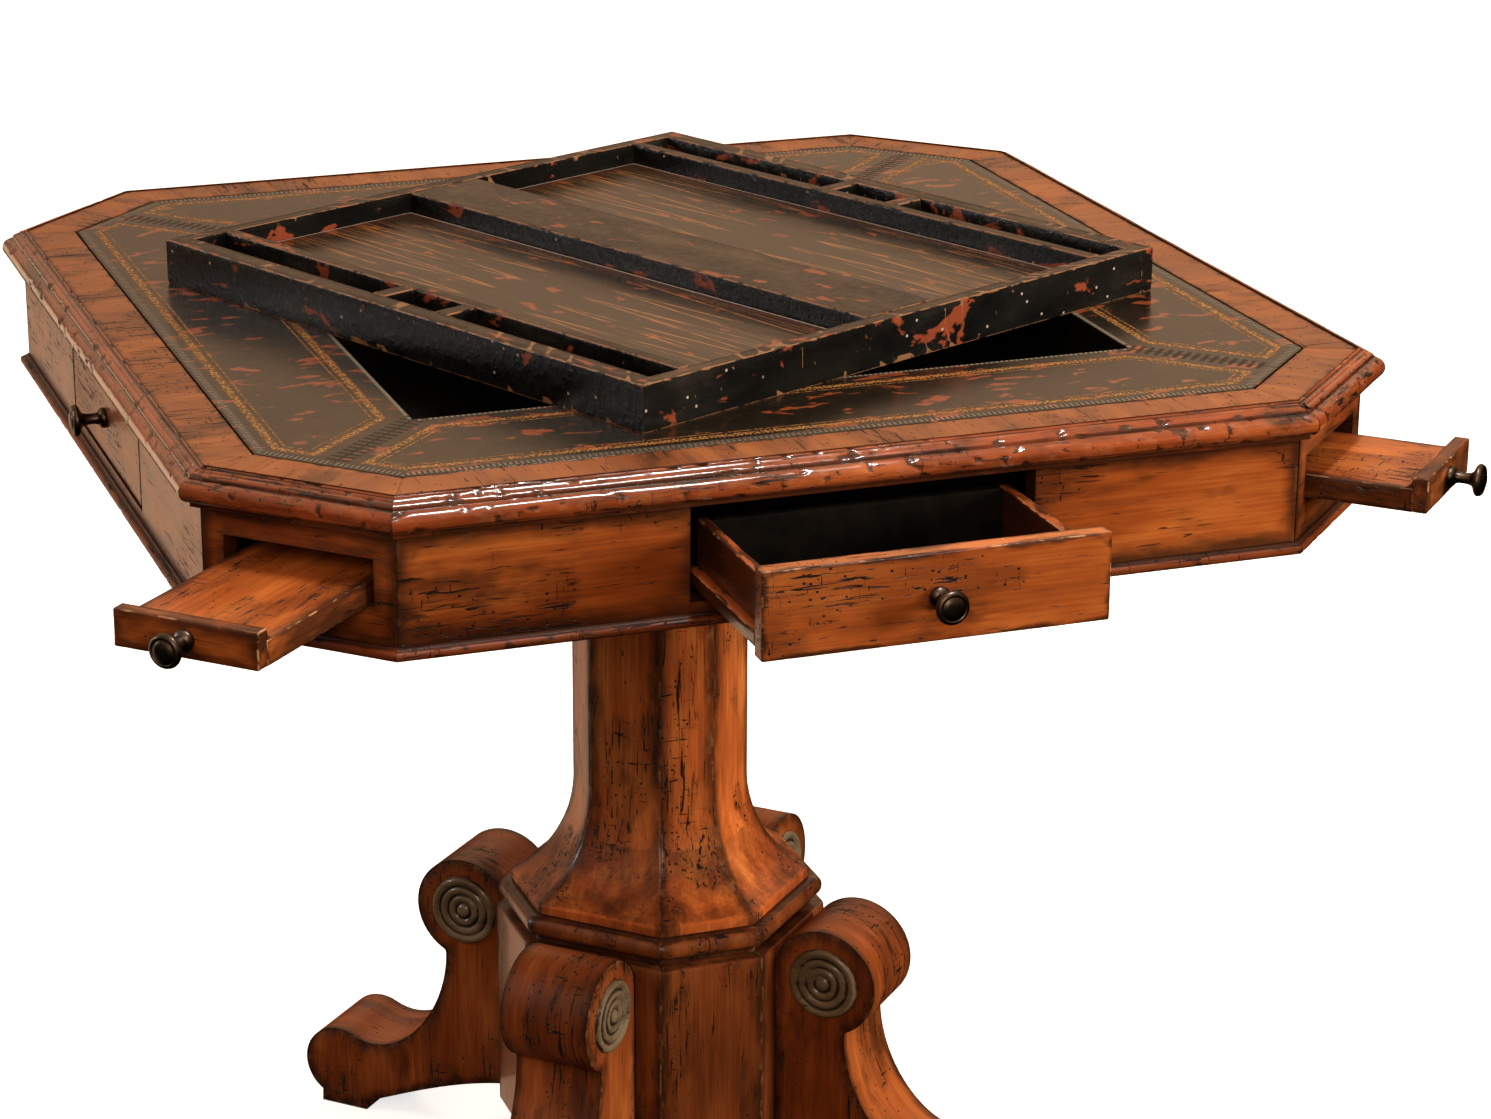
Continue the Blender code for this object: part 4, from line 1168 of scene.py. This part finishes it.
def make_stage():
    camera = bpy.data.objects.new("camera", bpy.data.cameras.new("camera"))
    bpy.context.scene.collection.objects.link(camera)
    level = Vector((sin(CAMERA_YAW), cos(CAMERA_YAW), 0)) * cos(CAMERA_PITCH)
    forward = level - Vector((0, 0, sin(CAMERA_PITCH)))
    right = forward.cross(Vector((0, 0, 1))).normalized()
    up = right.cross(forward)
    c, s = cos(CAMERA_ROLL), sin(CAMERA_ROLL)
    right, up = right * c + up * s, up * c - right * s
    rotation = Matrix((right, up, -forward)).transposed()
    camera.matrix_world = Matrix.Translation(CAMERA_PLACE) @ rotation.to_4x4()
    camera.data.lens = CAMERA_LENS
    camera.data.sensor_width = 36
    camera.data.clip_start = 0.05
    bpy.context.scene.camera = camera

    mesh = bpy.data.meshes.new("floor")
    half = 14
    corners = [(-half, -half, 0), (half, -half, 0), (half, half, 0), (-half, half, 0)]
    mesh.from_pydata(corners, [], [(0, 1, 2, 3)])
    floor_finish()
    mesh.materials.append(LOOKS["floor"])
    floor = bpy.data.objects.new("floor", mesh)
    bpy.context.scene.collection.objects.link(floor)
    # the floor shows to the camera, but its white doesn't wash out the glossy wood
    floor.visible_diffuse = False
    floor.visible_glossy = False

    # a dome that is bright overhead and in front, and dim behind and below, so that the wood stays deep
    world = bpy.data.worlds.new("studio")
    world.use_nodes = True
    tree = world.node_tree
    direction = tree.nodes.new("ShaderNodeSeparateXYZ")
    tree.links.new(tree.nodes.new("ShaderNodeTexCoord").outputs["Generated"], direction.inputs[0])

    def glow(output, low, high, base, top):
        node = tree.nodes.new("ShaderNodeMapRange")
        node.interpolation_type = "SMOOTHSTEP"
        tree.links.new(direction.outputs[output], node.inputs[0])
        for socket, number in zip(list(node.inputs)[1:5], (low, high, base, top)):
            socket.default_value = number
        return node.outputs[0]

    def combined(operation, a, b):
        node = tree.nodes.new("ShaderNodeMath")
        node.operation = operation
        tree.links.new(a, node.inputs[0])
        tree.links.new(b, node.inputs[1])
        return node.outputs[0]

    above = glow("Z", 0.25, 0.90, 0.0, 0.75)
    front = combined("MULTIPLY", glow("Y", 0.15, -0.75, 0.0, 0.42), glow("Z", -0.15, 0.30, 0.0, 1.0))
    low_left = combined("MULTIPLY", glow("X", -0.02, -0.34, 0.0, 1.55), glow("Z", 0.10, -0.10, 0.0, 1.0))
    sheen = combined("MULTIPLY", low_left, glow("Y", 0.40, 0.85, 0.0, 1.0))
    beyond = combined("MULTIPLY", glow("Y", 0.30, 0.80, 0.0, 0.74), glow("Z", 0.02, 0.20, 0.0, 1.0))
    beyond = combined("MULTIPLY", beyond, glow("X", 0.05, 0.45, 0.72, 1.0))
    background = tree.nodes["Background"]
    background.inputs[0].default_value = (1.0, 0.64, 0.40, 1)
    strength = combined("ADD", combined("ADD", above, front), combined("ADD", sheen, beyond))
    tree.links.new(strength, background.inputs[1])
    bpy.context.scene.world = world
    bpy.context.scene.view_settings.view_transform = "Standard"
    white, cream, warm = (1.0, 1.0, 1.0), (1.0, 0.93, 0.86), (1.0, 0.78, 0.60)
    for name, place, target, size, power, tint in (
        ("overhead", (0.30, -0.78, 2.60), (0.0, -0.3, 0.7), (0.50, 0.10), 32, white),
        ("key", (2.5, -2.0, 1.25), (0, 0, 0.45), (0.9, 0.9), 125, cream),
        ("side", (2.5, 0.9, 1.9), (0, 0, 0.75), (0.5, 0.5), 42, warm),
        ("fill", (-1.0, -2.8, 1.9), (0, 0, 0.5), (1.0, 1.0), 24, warm),
        ("left", (-2.8, 1.0, 1.5), (0, 0, 0.75), (0.8, 0.5), 20, white),
    ):
        light = bpy.data.lights.new(name, "AREA")
        light.color = tint
        light.shape = "RECTANGLE"
        light.size, light.size_y = size
        light.energy = power
        obj = bpy.data.objects.new(name, light)
        aim = (Vector(target) - Vector(place)).to_track_quat("-Z", "Y")
        obj.matrix_world = Matrix.Translation(place) @ aim.to_matrix().to_4x4()
        bpy.context.scene.collection.objects.link(obj)
        # these two would leave glints and glare on the polish
        obj.visible_glossy = name not in ("key", "side")


make_stage()
for name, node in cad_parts.items():
    # the well and top board take the near-black paint and painted shade
    look = "black_paint_and_shade" if name.startswith(("well", "top_board")) else "dark_wood"
    node.data.materials.clear()
    node.data.materials.append(LOOKS[look])
make_lip()
make_crossband()
make_leather()
make_aprons()
make_base_moulding()
for side_name, side_angle in SIDES.items():
    make_drawer(side_name, side_angle)
for corner_name, corner_angle in CORNERS.items():
    make_slide(corner_name, corner_angle)
    make_leg(corner_name, corner_angle)
make_tray()
make_pedestal()
